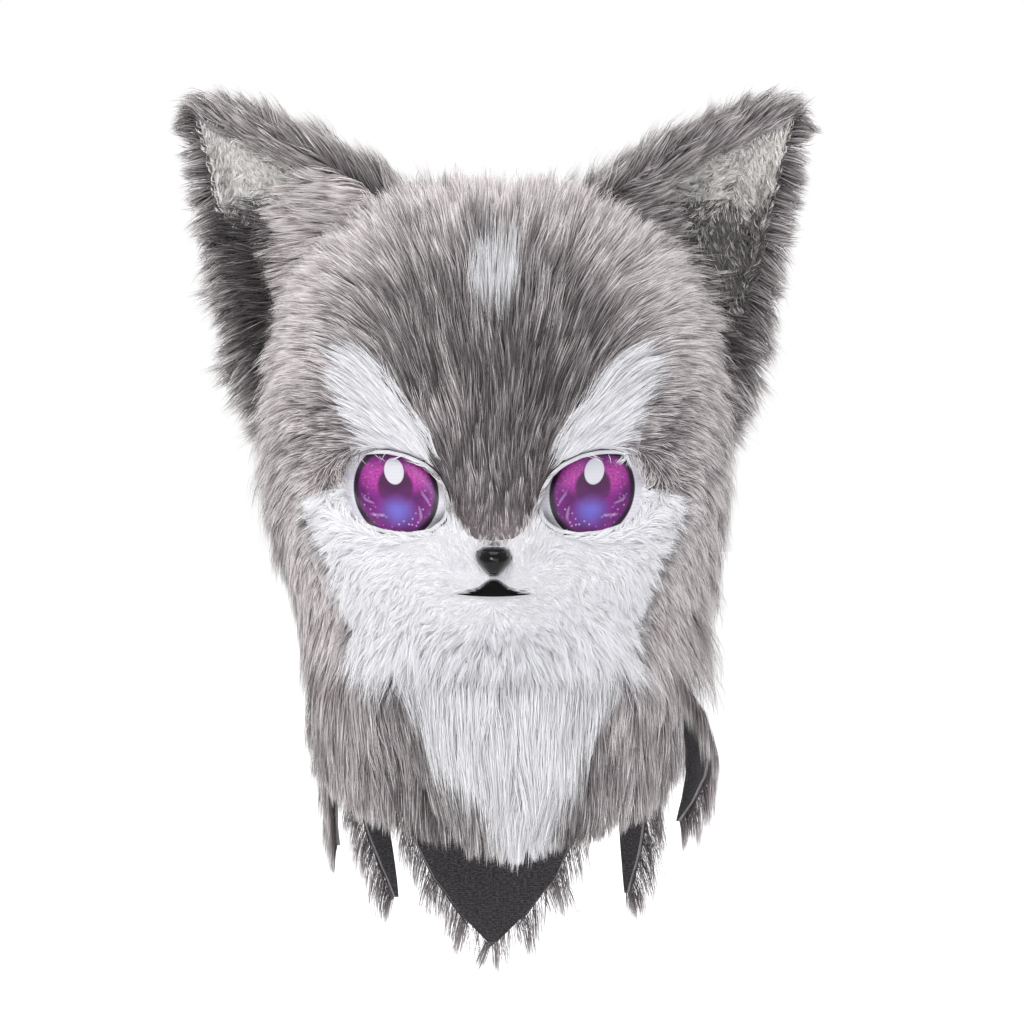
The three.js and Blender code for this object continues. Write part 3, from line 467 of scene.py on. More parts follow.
def hand_over(piece, slot, *replaced):
    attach(piece, "root")
    if replaced:
        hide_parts(*replaced)
    return piece


class Skin:
    """The head form's outer face as one smooth radial sheet about the middle of the head."""

    def __init__(self):
        tree = node_tree("head_form")
        self.turns, self.rows = 180, 82
        self.low, self.step = math.radians(-72), math.radians(2)
        azimuth = np.arange(self.turns) * self.step
        elevation = self.low + np.arange(self.rows) * self.step
        reach = np.full((self.rows, self.turns), np.nan)
        centre = Vector(HEAD_CENTRE)
        for j, up in enumerate(elevation):
            for i, round_ in enumerate(azimuth):
                out = Vector((math.cos(up) * math.sin(round_), -math.cos(up) * math.cos(round_), math.sin(up)))
                spot, normal, _, _ = tree.ray_cast(centre + out * 0.4, -out)
                if spot is not None and normal.dot(out) > 0.15 and (spot - centre).length > 0.07:
                    reach[j, i] = (spot - centre).length
        known = ~np.isnan(reach)
        reach[~known] = np.nanmean(reach)
        for _ in range(400):
            spread = self.blur(reach)
            reach[~known] = spread[~known]
        for _ in range(3):
            reach = self.blur(reach)
        self.reach = reach
        self.by_turn = (np.roll(reach, -1, 1) - np.roll(reach, 1, 1)) / (2 * self.step)
        self.by_row = np.gradient(reach, self.step, axis=0)

    @staticmethod
    def blur(grid):
        sides = (np.roll(grid, 1, 1) + np.roll(grid, -1, 1)) / 2
        ups = (np.vstack((grid[:1], grid[:-1])) + np.vstack((grid[1:], grid[-1:]))) / 2
        return grid * 0.34 + sides * 0.33 + ups * 0.33

    def look(self, grid, azimuth, elevation):
        x = (azimuth % (2 * math.pi)) / self.step
        y = np.clip((elevation - self.low) / self.step, 0, self.rows - 1.001)
        i, j = np.floor(x).astype(int), np.floor(y).astype(int)
        fx, fy = x - i, y - j
        i0, i1 = i % self.turns, (i + 1) % self.turns
        below, above = (grid[row, i0] * (1 - fx) + grid[row, i1] * fx for row in (j, j + 1))
        return below * (1 - fy) + above * fy

    def at_angles(self, azimuth, elevation):
        """The skin's points and normals, with the ways round and up, for arrays of angles."""
        ca, sa, ce, se = np.cos(azimuth), np.sin(azimuth), np.cos(elevation), np.sin(elevation)
        out = np.stack((ce * sa, -ce * ca, se), 1)
        around = np.stack((ca, sa, np.zeros_like(ca)), 1)
        up = np.stack((-se * sa, se * ca, ce), 1)
        reach = self.look(self.reach, azimuth, elevation)
        turn = self.look(self.by_turn, azimuth, elevation) / np.maximum(ce, 0.08)
        row = self.look(self.by_row, azimuth, elevation)
        normal = unit(out * reach[:, None] - around * turn[:, None] - up * row[:, None])
        return HEAD_CENTRE + out * reach[:, None], normal, around, up

    def under(self, spots):
        out = spots - HEAD_CENTRE
        azimuth = np.arctan2(out[:, 0], -out[:, 1])
        elevation = np.arctan2(out[:, 2], np.hypot(out[:, 0], out[:, 1]))
        return self.at_angles(azimuth, elevation)[:2]


class Flow:
    """Which way the pile lies, how long it is and how light, anywhere on the head."""

    def __init__(self, skin):
        rows = [(a, *rest) for a, *rest in PILE_GUIDES]
        rows += [(-a, e, -s, *rest) for a, e, s, *rest in PILE_GUIDES if a not in (0, 180)]
        table = np.array(rows, dtype=float)
        self.spots, normal, around, up = skin.at_angles(np.radians(table[:, 0]), np.radians(table[:, 1]))
        self.ways = unit(around * table[:, 2:3] + up * table[:, 3:4])
        self.facts = table[:, 4:]

    def __call__(self, spots, normals):
        ways, facts = np.empty_like(spots), np.empty((len(spots), 2))
        for start in range(0, len(spots), 20000):
            part = slice(start, start + 20000)
            gap = ((spots[part, None] - self.spots[None]) ** 2).sum(2)
            pull = 1.0 / (gap + 0.008 ** 2) ** 2
            pull /= pull.sum(1, keepdims=True)
            ways[part], facts[part] = pull @ self.ways, pull @ self.facts
        return unit(ways - normals * dots(ways, normals)), facts[:, 0] * MM, facts[:, 1]


def leaders(roots, spacing, rng):
    """For each root the index of the strand that leads its lock, with locks about spacing apart."""
    order = rng.permutation(len(roots))
    cell = np.floor(roots / spacing).astype(np.int64)
    keys = cell[:, 0] * 73856093 ^ cell[:, 1] * 19349663 ^ cell[:, 2] * 83492791
    _, first = np.unique(keys[order], return_index=True)
    chosen = order[first]
    tree = KDTree(len(chosen))
    for k, index in enumerate(chosen.tolist()):
        tree.insert(roots[index], k)
    tree.balance()
    return np.array([chosen[tree.find(spot)[1]] for spot in roots.tolist()])


def grow(roots, normals, lie, length, rng, lift=55.0, rest=8.0, droop=0.15, wander=9.0, tuft=0.007, tuft_pull=0.6,
         lock=0.02, lock_pull=0.25, steps=3, under=0.3):
    """Centre lines of strands that rise from the roots, bend into the lie and gather into tufts and locks."""
    count = len(roots)
    tuft_of, lock_of = leaders(roots, tuft, rng), leaders(roots, lock, rng)
    kind = rng.random(count)
    length = length * np.where(kind < under, 0.62, np.where(kind > 0.93, 1.15, 1.0))
    turn = rng.normal(0, wander, count) * 0.7 + rng.normal(0, wander, count)[tuft_of] + rng.normal(0, wander, count)[lock_of]
    turn = np.radians(turn)[:, None]
    long_ = (length * rng.uniform(0.78, 1.12, count) * (1 + 0.10 * rng.normal(0, 1, count)[tuft_of]))[:, None]
    rise = np.radians(lift * (1 + 0.16 * rng.normal(0, 1, count) + 0.14 * rng.normal(0, 1, count)[lock_of]))[:, None]
    spots, here = [roots], roots
    for k in range(steps):
        t = (k + 0.5) / steps
        way = lie(here, normals)
        way = way * np.cos(turn) + np.cross(normals, way) * np.sin(turn)
        angle = rise * (1 - t) ** 1.25 + math.radians(rest)
        step = unit(way * np.cos(angle) + normals * np.sin(angle) + np.array((0, 0, -1.0)) * droop * t)
        here = here + step * long_ / steps
        spots.append(here)
    for k in range(1, steps + 1):
        t = k / steps
        for of, pull in ((tuft_of, tuft_pull), (lock_of, lock_pull)):
            offset = (roots - roots[of]) * 0.25
            spots[k] = spots[k] + (spots[k][of] + offset - spots[k]) * pull * t ** 1.6
    own = rng.normal(0, 1, count) - np.where(kind < under, 0.8, 0.0) + np.where(kind > 0.93, 1.0, 0.0)
    return spots, (own, rng.normal(0, 1, count)[tuft_of], rng.normal(0, 1, count)[lock_of])


def ribbons(name, spots, normals, width, tone, rng, finish):
    """One mesh of flat tapering strands. Their palette place is the strand's tone and the share of its length."""
    count, steps = len(normals), len(spots) - 1
    each = steps * 2 + 1
    roll = np.radians(rng.uniform(-48, 48, count))[:, None]
    wide = (width * rng.uniform(0.65, 1.3, count))[:, None]
    taper = np.interp(np.arange(steps) / steps, (0, 0.35, 0.75, 1), (0.8, 1.0, 0.72, 0.1))
    co = np.empty((count, each, 3))
    shade = np.empty_like(co)
    for k in range(steps + 1):
        along = unit(spots[min(k + 1, steps)] - spots[max(k - 1, 0)])
        side = unit(np.cross(along, normals))
        face = np.cross(side, along)
        side, face = side * np.cos(roll) + face * np.sin(roll), face * np.cos(roll) - side * np.sin(roll)
        lit = unit(normals * 0.62 + face * 0.38)
        if k < steps:
            co[:, 2 * k] = spots[k] - side * wide * taper[k] / 2
            co[:, 2 * k + 1] = spots[k] + side * wide * taper[k] / 2
            shade[:, 2 * k], shade[:, 2 * k + 1] = unit(lit - side * 0.25), unit(lit + side * 0.25)
        else:
            co[:, -1], shade[:, -1] = spots[k], lit
    pattern = [2 * k + corner for k in range(steps - 1) for corner in (0, 1, 3, 2)]
    pattern += [each - 3, each - 2, each - 1]
    loops = (np.arange(count)[:, None] * each + np.array(pattern)[None]).ravel()
    starts = (np.arange(count)[:, None] * len(pattern) + np.arange(0, len(pattern), 4)[None]).ravel()
    mesh = bpy.data.meshes.new(name)
    mesh.vertices.add(count * each)
    mesh.vertices.foreach_set("co", co.ravel())
    mesh.loops.add(len(loops))
    mesh.loops.foreach_set("vertex_index", loops.astype(np.int32))
    mesh.polygons.add(len(starts))
    mesh.polygons.foreach_set("loop_start", starts.astype(np.int32))
    mesh.polygons.foreach_set("use_smooth", np.ones(len(starts), dtype=bool))
    place_u = np.clip(tone, 0.02, 0.98)[:, None] + np.array([-0.004, 0.004] * steps + [0.0])[None]
    share = np.array([k / steps for k in range(steps) for _ in (0, 1)] + [1.0])
    place_v = np.broadcast_to(share * 0.96 + 0.02, place_u.shape)
    palette = np.stack((place_u, place_v), 2).reshape(-1, 2)[loops]
    mesh.uv_layers.new(name=PALETTE).data.foreach_set("uv", palette.astype(np.float32).ravel())
    mesh.update(calc_edges=True)
    mesh.normals_split_custom_set_from_vertices(shade.reshape(-1, 3))
    mesh.materials.append(finish_named(finish))
    return link(name, mesh)


def build(name, pick, spots, normals, width, tone, rng, slot, *replaced, finish=None):
    """One piece of the picked strands, in the finish of its slot where no other is named."""
    width = np.broadcast_to(width, len(normals))[pick]
    made = ribbons(name, [s[pick] for s in spots], normals[pick], width, tone[pick], rng, finish or PILE[slot])
    return hand_over(made, slot, *replaced)


def fleece(name, source, base, share, slot):
    """The backing under a pile: a copy of its CAD layer, pressed towards what carries it."""
    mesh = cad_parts[source].data.copy()
    mesh.name = name
    co = np.empty(len(mesh.vertices) * 3)
    mesh.vertices.foreach_get("co", co)
    co = co.reshape(-1, 3)
    foot = nearest(base, co)
    mesh.vertices.foreach_set("co", (foot + (co - foot) * share).ravel())
    mesh.materials.clear()
    mesh.materials.append(finish_named(FLEECE[slot]))
    mesh.update()
    return hand_over(link(name, mesh), slot, source)


SHARED = {}
OVERHANG = 0.0075  # how far tips hang over an eye at its outer upper corner
SKIN_BATCH = 60000


def skin():
    if "skin" not in SHARED:
        SHARED["skin"] = Skin()
        SHARED["flow"] = Flow(SHARED["skin"])
        SHARED["form"] = node_tree("head_form")
    return SHARED["skin"], SHARED["flow"], SHARED["form"]


def skin_roots(count, rng, wanted):
    """Roots spread evenly over the smooth skin, kept where wanted(regions) is true."""
    layer, _, _ = skin()
    kept, found = [], 0
    while found < count:
        azimuth = rng.uniform(0, 2 * math.pi, SKIN_BATCH)
        elevation = np.arcsin(rng.uniform(math.sin(math.radians(-58)), 1, SKIN_BATCH))
        spots, normals, _, _ = layer.at_angles(azimuth, elevation)
        out = spots - HEAD_CENTRE
        area = (out ** 2).sum(1) ** 1.5 / np.maximum((out * normals).sum(1), 0.02)
        keep = (rng.random(SKIN_BATCH) < area / 0.030) & (spots[:, 2] > -0.2695)
        spots, normals = spots[keep], normals[keep]
        keep = wanted(region_under(spots, normals))
        kept.append((spots[keep], normals[keep]))
        found += keep.sum()
    spots, normals = (np.concatenate(part)[:count] for part in zip(*kept))
    return spots, normals


def level_low(spots, normals):
    """Normals turned level near the neck, so that the pile there hangs over what is below."""
    share = np.clip((-0.205 - spots[:, 2:]) / 0.04, 0, 1)
    return unit(normals * (1 - share) + unit(normals * np.array((1.0, 1.0, 0.0))) * share)


def from_eye(spots):
    """The way out from the nearer eye, in x and z, and how well it points to the eye's outer upper corner, 0 to 1."""
    trim = sizes("head_trim")
    side = np.sign(spots[:, 0])
    out = unit(np.stack((spots[:, 0] - side * trim.iris_centre_x, spots[:, 2] - trim.iris_centre_z), 1))
    return out, np.clip(out[:, 0] * side * 0.75 + out[:, 1] * 0.66, 0, 1) ** 3


def by_the_eyes(roots, normals, within):
    """How near each root is to an eye, 0 to 1, the way to it along the skin, and the length that ends just over it."""
    if "eyes" not in SHARED:
        SHARED["eyes"] = node_tree("eye_mesh_left", "eye_mesh_right")
    to = nearest(SHARED["eyes"], roots) - roots
    away = np.where(np.linalg.norm(to, axis=1) < 0.03, np.linalg.norm(to - normals * dots(to, normals), axis=1), 1.0)
    out, corner = from_eye(roots)
    back = np.stack((-out[:, 0], np.zeros(len(roots)), -out[:, 1]), 1)
    near = np.clip(1.3 - away / within, 0, 1)[:, None]
    return near, unit(back - normals * dots(back, normals)), (away + 0.0034 + OVERHANG * corner) * 1.1


def raised(roots, normals, near, backings):
    """The roots beside the eyes, raised onto the backing or the eye's rim where that lies over them."""
    points, triangles = [], []
    for thing in backings + [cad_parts["eye_rim_left"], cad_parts["eye_rim_right"]]:
        thing.data.calc_loop_triangles()
        triangles += [[corner + len(points) for corner in face.vertices] for face in thing.data.loop_triangles]
        points += [thing.matrix_world @ vertex.co for vertex in thing.data.vertices]
    tree = BVHTree.FromPolygons(points, triangles)
    roots = roots.copy()
    for i in np.flatnonzero(near[:, 0] > 0):
        hit = tree.ray_cast(Vector(roots[i] + normals[i] * 0.014), Vector(-normals[i]), 0.014)[0]
        if hit is not None:
            roots[i] = np.array(hit) + normals[i] * 0.0002
    return roots


def lie_by(flow, near, to, share):
    """The flow of the pile, turned towards the eye for the roots beside it."""
    def lie(here, normals):
        return unit(flow(here, normals)[0] * (1.02 - near * share) + to * near * share)
    return lie


REGIONS = (("crown_fur",), ("face_mask", "eye_rim_left", "eye_rim_right", "mouth_felt"), ("brow_left",), ("brow_right",),
           ("blaze",), ("eye_mesh_left", "eye_mesh_right", "nose"))
MOUTH_HALF, MOUTH_FLOOR, MOUTH_RISE = 0.0225, -0.2262, 0.0086
GREY, FACE, BROW_LEFT, BROW_RIGHT, OVAL, BARE = range(6)


def region_under(spots, normals):
    """Which CAD layer of the head lies under each point; -1 where none does."""
    if "regions" not in SHARED:
        points, triangles, which, first = [], [], [], 0
        for index, names in enumerate(REGIONS):
            co, corners = node_mesh(*names)
            points += co.tolist()
            triangles += (corners + first).tolist()
            which += [index] * len(corners)
            first += len(co)
        SHARED["regions"] = BVHTree.FromPolygons(points, triangles), which
    tree, which = SHARED["regions"]
    found = np.full(len(spots), -1)
    starts, ways = (spots + normals * 0.045).tolist(), (-normals).tolist()
    for i, (start, way) in enumerate(zip(starts, ways)):
        face = tree.ray_cast(start, way, 0.09)[2]
        if face is not None:
            found[i] = which[face]
    return found


def mouth_edges(x):
    """Heights of the mouth's lower and upper edges across the face."""
    x = np.abs(x) / MOUTH_HALF
    low = MOUTH_FLOOR + 0.0014 * x ** 2
    return low, low + 0.0023 * np.clip(1 - x, 0, 1) ** 0.5 + MOUTH_RISE * 0.80 * np.exp(-(x / 0.30) ** 2)


def on_mouth(spots):
    x, y, z = spots.T
    low, top = mouth_edges(x)
    return (np.abs(x) < MOUTH_HALF + 0.0008) & (y < -0.1) & (z > low - 0.0008) & (z < top + 0.0007)


def past_rim(spots):
    """The points moved away from the nearer eye: a tip may hang as far over it, most at its outer upper corner."""
    out, corner = from_eye(spots)
    far = 0.0006 + OVERHANG * corner
    return spots + np.stack((out[:, 0] * far, np.zeros(len(spots)), out[:, 1] * far), 1)


def sort_strands(spots, normals, rng):
    """The region that each strand shows in, and whether it stays off the eyes, nose and mouth."""
    share = np.clip(rng.normal(0.66, 0.12, len(normals)), 0.3, 1.0)[:, None] * (len(spots) - 1)
    stretch = np.minimum(np.floor(share), len(spots) - 2)
    seen = np.zeros_like(normals)
    for k in range(len(spots) - 1):
        here = (stretch == k)
        seen += here * (spots[k] + (spots[k + 1] - spots[k]) * (share - k))
    region, rooted = region_under(past_rim(seen), normals), region_under(spots[0], normals)
    facing = np.tile((0.0, -1.0, 0.0), (len(normals), 1))
    clear = (region != BARE) & (rooted != BARE) & (region_under(past_rim(spots[-1]), facing) != BARE)
    region = np.where(region < 0, rooted, region)
    beside = region_under(seen + np.sign(seen[:, :1]) * np.array((0.005, 0, 0)) - np.array((0, 0, 0.005)), normals)
    region = np.where((region == GREY) & ((beside == BROW_LEFT) | (beside == BROW_RIGHT)), beside, region)
    for low, high in zip(spots[:-1], spots[1:]):
        for share in (0.0, 0.25, 0.5, 0.75, 1.0):
            clear &= ~on_mouth(low + (high - low) * share)
    region[region < 0] = GREY
    return region, clear


# ---------------------------------------------------------------- pieces

class HEAD_OT_foam(bpy.types.Operator):
    """Give the foam form and the ear cups their finish"""
    bl_idname = "head.foam"
    bl_label = "Foam form and ear cups"

    def execute(self, context):
        for name in ("head_form", "ear_cup_left", "ear_cup_right"):
            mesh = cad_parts[name].data
            mesh.materials.clear()
            mesh.materials.append(finish_named("foam"))
        return {"FINISHED"}


def long_pile(rng, size, flow, backings):
    """The long pile: grey crown, brows and oval, and the strands that reach over the face."""
    ears = node_tree("ear_cup_left", "ear_cup_right", "ear_fur_left", "ear_fur_right")
    roots, normals = skin_roots(size.crown_strands, rng, lambda region: (region != FACE) & (region != BARE))
    roots = roots + normals * 0.002
    rays = zip((roots + normals * 0.030).tolist(), (-normals).tolist())
    clear = np.array([ears.ray_cast(spot, way, 0.034)[0] is None for spot, way in rays])
    clear &= (roots[:, 1] < HEAD_BACK) | (rng.random(len(roots)) < 0.24)
    roots, normals = roots[clear], normals[clear]
    normals = level_low(roots, normals)
    _, length, light = flow(roots, normals)
    x, y, z = roots.T
    lift = np.interp(z, (-0.27, -0.22, -0.10, -0.04, 0.01), (24.0, 36.0, 34.0, 44.0, 74.0))
    length = length * np.where(z < -0.235, rng.uniform(0.6, 1.6, len(roots)), 1.0)
    lift = np.where(y < HEAD_BACK, lift, np.minimum(lift, 44.0))
    lift += 18.0 * np.clip(1 - np.abs(normals[:, 1]) / 0.5, 0, 1) * np.clip(1 - np.abs(z + 0.12) / 0.1, 0, 1)
    fuller = np.clip(x / 0.09, -0.8, 1) * np.clip((-0.17 - z) / 0.04, 0, 1)
    lift += 24.0 * fuller
    length = length * (1 + 0.14 * fuller)
    near, to, reach = by_the_eyes(roots, normals, 0.008)
    roots = raised(roots, normals, near, backings)
    near = near * (0.65 + 0.35 * from_eye(roots)[1])[:, None]
    length = np.where(near[:, 0] > 0.2, np.minimum(length, np.maximum(reach, 0.006)), length)
    spots, tone = grow(roots, normals, lie_by(flow, near, to, 0.95), length, rng, lift=lift, rest=5.0, droop=0.06,
                       wander=3.6, tuft=0.005, tuft_pull=0.42, lock=0.016, lock_pull=0.2)
    region, clear = sort_strands(spots, normals, rng)
    region[(region == FACE) & (region_under(spots[0], normals) == GREY) & (rng.random(len(roots)) < 0.4)] = GREY
    region[(region == OVAL) & (region_under(spots[1], normals) != OVAL) & (rng.random(len(roots)) < 0.8)] = GREY
    grey = light + 0.19 * tone[0] + 0.13 * tone[1] + 0.07 * tone[2]
    white = np.where(region == OVAL, 0.28, 0.66) + 0.15 * tone[0] + 0.12 * tone[1]
    width = size.strand_width * np.where(roots[:, 1] < HEAD_BACK, 0.95, 2.3)
    for end, front in (("front", roots[:, 1] < -0.035), ("back", roots[:, 1] >= -0.035)):
        for side, here in (("left", roots[:, 0] > 0), ("right", roots[:, 0] <= 0)):
            build("crown_pile_%s_%s" % (end, side), clear & (region == GREY) & front & here, spots, normals, width, grey, rng,
                  "grey_fur", "crown_fur")
    for name, where, source in (("brow_pile_left", BROW_LEFT, "brow_left"), ("brow_pile_right", BROW_RIGHT, "brow_right"),
                                ("blaze_pile", OVAL, "blaze"), ("cheek_pile", FACE, "face_mask")):
        build(name, clear & (region == where), spots, normals, width, white, rng, "white_fur", source)


def short_pile(rng, size, flow, backings):
    """The short pile of the face. What shows over grey is grey."""
    roots, normals = skin_roots(size.face_strands, rng, lambda region: region == FACE)
    roots = roots + normals * 0.003
    normals = level_low(roots, normals)
    _, length, _ = flow(roots, normals)
    near, to, reach = by_the_eyes(roots, normals, 0.009)
    roots = raised(roots, normals, near, backings)
    length = np.where(near[:, 0] > 0, np.minimum(length, reach), length)
    lift = np.interp(roots[:, 2], (-0.27, -0.235, -0.21), (20.0, 38.0, 50.0))
    length = length * np.where(roots[:, 2] < -0.24, rng.uniform(0.5, 1.6, len(roots)), 1.0)
    spots, tone = grow(roots, normals, lie_by(flow, near, to, 0.95), length, rng, lift=lift, rest=11.0, droop=0.1,
                       wander=13.0, tuft=0.004, tuft_pull=0.3, lock=0.012, lock_pull=0.12, steps=2, under=0.15)
    region, clear = sort_strands(spots, normals, rng)
    white = np.interp(np.abs(roots[:, 0]), (0.02, 0.06), (0.70, 0.92)) + 0.13 * tone[0] + 0.09 * tone[1]
    grey = 0.5 + 0.20 * tone[0] + 0.10 * tone[1]
    width = size.strand_width
    build("face_pile", clear & (region != GREY), spots, normals, width * 0.9, white, rng, "white_fur", "face_mask")
    build("face_border_pile", clear & (region == GREY), spots, normals, width, grey, rng, "grey_fur", "crown_fur")


class HEAD_OT_head_pile(bpy.types.Operator):
    """Grow the pile of the head: grey crown, white face, brows and oval, each strand coloured where it shows"""
    bl_idname = "head.head_pile"
    bl_label = "Head pile"

    def execute(self, context):
        rng = np.random.default_rng(11)
        size = sizes("head_pile")
        _, flow, form = skin()
        backings = [fleece(name, source, form, share, slot) for name, source, share, slot in (
            ("crown_backing", "crown_fur", 0.16, "grey_fur"), ("face_backing", "face_mask", 0.5, "white_fur"),
            ("brow_backing_left", "brow_left", 0.3, "white_fur"), ("brow_backing_right", "brow_right", 0.3, "white_fur"),
            ("blaze_backing", "blaze", 0.16, "white_fur"))]
        long_pile(rng, size, flow, backings)
        short_pile(rng, size, flow, backings)
        return {"FINISHED"}


# The line, in x and z, under which the head's long pile covers each ear's plush.
# Further out than the last figure, that pile gives way to the dark pile of the ear's rim.
EAR_COVER = {"right": ((-0.158, 0.015), (-0.107, 0.037), 0.134), "left": ((0.0915, 0.025), (0.150, -0.052), 0.140)}
# Beside the inner edge of the lining, the pile of the rim hangs over it.
RIM_BAND = 0.012
ALL = slice(None)


class Ear:
    """Where one ear stands: along its axis, across it and about the middle of its foot."""

    def __init__(self, side):
        self.side, self.sign = side, 1.0 if side == "left" else -1.0
        self.axis = unit(np.array((0.555 * self.sign, 0.0, 0.832)))
        self.across = np.array((0.832 * self.sign, 0.0, -0.555))
        self.middle = np.array((0.098 * self.sign, 0.0, -0.049))
        self.cup = node_tree("ear_cup_" + side)
        (self.x0, self.z0), (self.x1, self.z1), self.rim = EAR_COVER[side]

    def cover(self, x):
        """The height under which the head's long pile covers the plush."""
        return self.z0 + (x - self.x0) * (self.z1 - self.z0) / (self.x1 - self.x0)

    def by_inner_edge(self, spots, width):
        """Which points on the lining lie within the width from its inner edge."""
        rel = spots - self.middle
        row = np.clip((rel @ self.axis / 0.01).astype(int) + 4, 0, 29)
        edge = np.full(30, np.inf)
        np.minimum.at(edge, row, rel @ self.across)
        return rel @ self.across < edge[row] + width

    def fur_lie(self, here, normals):
        """The pile outside: up the inner side, and outwards on the outer side."""
        rel = here - self.middle
        height = np.clip((rel @ self.axis) / 0.14, 0, 1)[:, None]
        inner = self.axis * 1.0 - self.across * 0.12
        outer = self.across * (0.9 - 0.2 * height) + self.axis * (0.15 + 0.2 * height) - np.array((0, 0, 0.2)) * (1 - height)
        mix = np.clip(np.clip((rel @ self.across) / 0.05, -1, 1)[:, None] * 1.6 + 0.5, 0, 1)
        way = inner * (1 - mix) + outer * mix
        return unit(way - normals * dots(way, normals) * 0.9)

    def plush_lie(self, here, normals):
        way = self.axis * 0.9 - self.across * 0.3 + np.array((0, 0, -0.1))
        return unit(way - normals * dots(way, normals))

    def base_lie(self, band, here, normals):
        """The pile over the lining: away from the head below, and along the axis in the band at the inner edge."""
        rise = np.interp(here[:, 2], (-0.10, 0.03), (-0.6, 0.12 if self.sign < 0 else 0.45))
        away = np.stack((np.full(len(here), self.sign), np.full(len(here), -0.1), rise), 1)
        away = np.where(band, self.axis + self.across * 0.15, away)
        return unit(away - normals * dots(away, normals) * 0.7)

    def fur(self, rng, size):
        source = "ear_fur_" + self.side
        fleece("ear_backing_" + self.side, source, self.cup, 0.3, "grey_fur")
        spots, faces = scatter((source,), int(size.ear_strands * 1.9), rng)
        foot = nearest(self.cup, spots)
        out = spots - foot
        keep = np.flatnonzero(np.linalg.norm(out, axis=1) > 0.003)[:size.ear_strands]
        foot, out = foot[keep], out[keep]
        normals = unit(unit(out) + faces[keep] * 0.5)
        roots = foot + out * rng.uniform(0.06, 0.45, len(foot))[:, None]
        up = np.clip(((roots - self.middle) @ self.axis) / 0.14, 0, 1)
        inner = np.clip(0.5 - ((roots - self.middle) @ self.across) / 0.03, 0, 1)
        spots, tone = grow(roots, normals, self.fur_lie, size.ear_pile * (1.28 - 0.60 * up + 0.30 * inner), rng,
                           lift=50.0 - 20.0 * inner, rest=8.0, droop=0.14, wander=8.0, tuft=0.006, tuft_pull=0.45,
                           lock=0.018, lock_pull=0.38)
        facing = np.clip(-normals[:, 1] * 1.4, 0, 1)
        tone = 0.80 + 0.06 * inner - 0.40 * facing + 0.17 * tone[0] + 0.11 * tone[1] + 0.08 * tone[2]
        build("ear_pile_" + self.side, ALL, spots, normals, size.strand_width * 1.25, tone, rng, "grey_fur", source,
              finish="ear pile")

    def plush(self, rng, size):
        source = "ear_lining_" + self.side
        backing = fleece("ear_plush_backing_" + self.side, source, self.cup, 0.25, "plush")
        backing.data.materials.append(finish_named("grey fleece"))
        for face in backing.data.polygons:
            if face.center.z < max(self.cover(face.center.x) - 0.004, 0.018 if self.sign > 0 else -1.0):
                face.material_index = 1
        spots, faces = scatter((source,), int(size.plush_strands * 3.2), rng)
        foot = nearest(self.cup, spots)
        out = spots - foot
        keep = (np.linalg.norm(out, axis=1) > 0.0025) & (spots[:, 2] > self.cover(spots[:, 0]) - 0.008)
        keep &= ~self.by_inner_edge(spots, RIM_BAND * 0.7)
        keep = np.flatnonzero(keep)[:size.plush_strands]
        normals = unit(unit(out[keep]) + faces[keep])
        roots = foot[keep] + out[keep] * 0.4
        spots, tone = grow(roots, normals, self.plush_lie, np.full(len(roots), size.plush_pile), rng, lift=58.0, rest=16.0,
                           droop=0.0, wander=20.0, tuft=0.003, tuft_pull=0.4, lock=0.01, lock_pull=0.2, steps=2)
        # Painted shade: the plush of the left ear is darkened towards the bottom of its cup, standing in for the shade
        # that falls deep in that ear.
        deep = np.clip((0.052 - roots[:, 2]) / 0.06, 0, 1) * (self.sign > 0)
        tone = 0.62 - 0.62 * deep + 0.13 * tone[0] + 0.14 * tone[1] + 0.05 * tone[2]
        build("ear_plush_" + self.side, ALL, spots, normals, size.strand_width * 1.8, tone, rng, "plush", source)

    def base_pile(self, rng, size):
        """The long pile over the lower lining and beside its inner edge."""
        source = "ear_lining_" + self.side
        spots, faces = scatter((source,), int(size.plush_strands * 2.8), rng)
        foot = nearest(self.cup, spots)
        out = spots - foot
        line = self.cover(spots[:, 0])
        band = self.by_inner_edge(spots, RIM_BAND + rng.normal(0, 0.002, len(spots)))
        keep = (np.linalg.norm(out, axis=1) > 0.0025) & (band | (spots[:, 2] < line + rng.normal(0, 0.006, len(spots))))
        foot, out, band = foot[keep], out[keep], band[keep] & (spots[keep, 2] > line[keep])
        normals = unit(unit(out) + faces[keep])
        roots = foot + out * 0.6
        spots, tone = grow(roots, normals, partial(self.base_lie, band[:, None]), np.full(len(roots), size.ear_pile), rng,
                           lift=34.0, rest=8.0, droop=0.08, wander=6.0, tuft=0.006, tuft_pull=0.35)
        rim = np.clip((np.abs(roots[:, 0]) - self.rim) / 0.006, 0, 1)
        base = (1.0 if self.sign < 0 else 0.42) * (1 - rim) + 0.06 * rim
        tone = np.where(band, 0.40, base) + 0.13 * tone[0] + 0.08 * tone[1]
        build("ear_base_pile_" + self.side, ALL, spots, normals, size.strand_width * 1.25, tone, rng, "grey_fur", source)


class HEAD_OT_ears(bpy.types.Operator):
    """Grow the pile round the ears and the plush inside them"""
    bl_idname = "head.ears"
    bl_label = "Ear pile and plush"

    def execute(self, context):
        for side, seed in (("left", 37), ("right", 38)):
            rng, ear = np.random.default_rng(seed), Ear(side)
            for grow_part in (ear.fur, ear.plush, ear.base_pile):
                grow_part(rng, sizes("head_pile"))
        return {"FINISHED"}


# The white bib's edges, where its pile shows: height, then x on the wearer's right and left.
BIB_EDGE = np.array(((-0.400, 0.013, 0.022), (-0.3885, 0.000, 0.034), (-0.352, -0.034, 0.054), (-0.321, -0.045, 0.067),
                     (-0.290, -0.060, 0.079), (-0.262, -0.094, 0.092)))


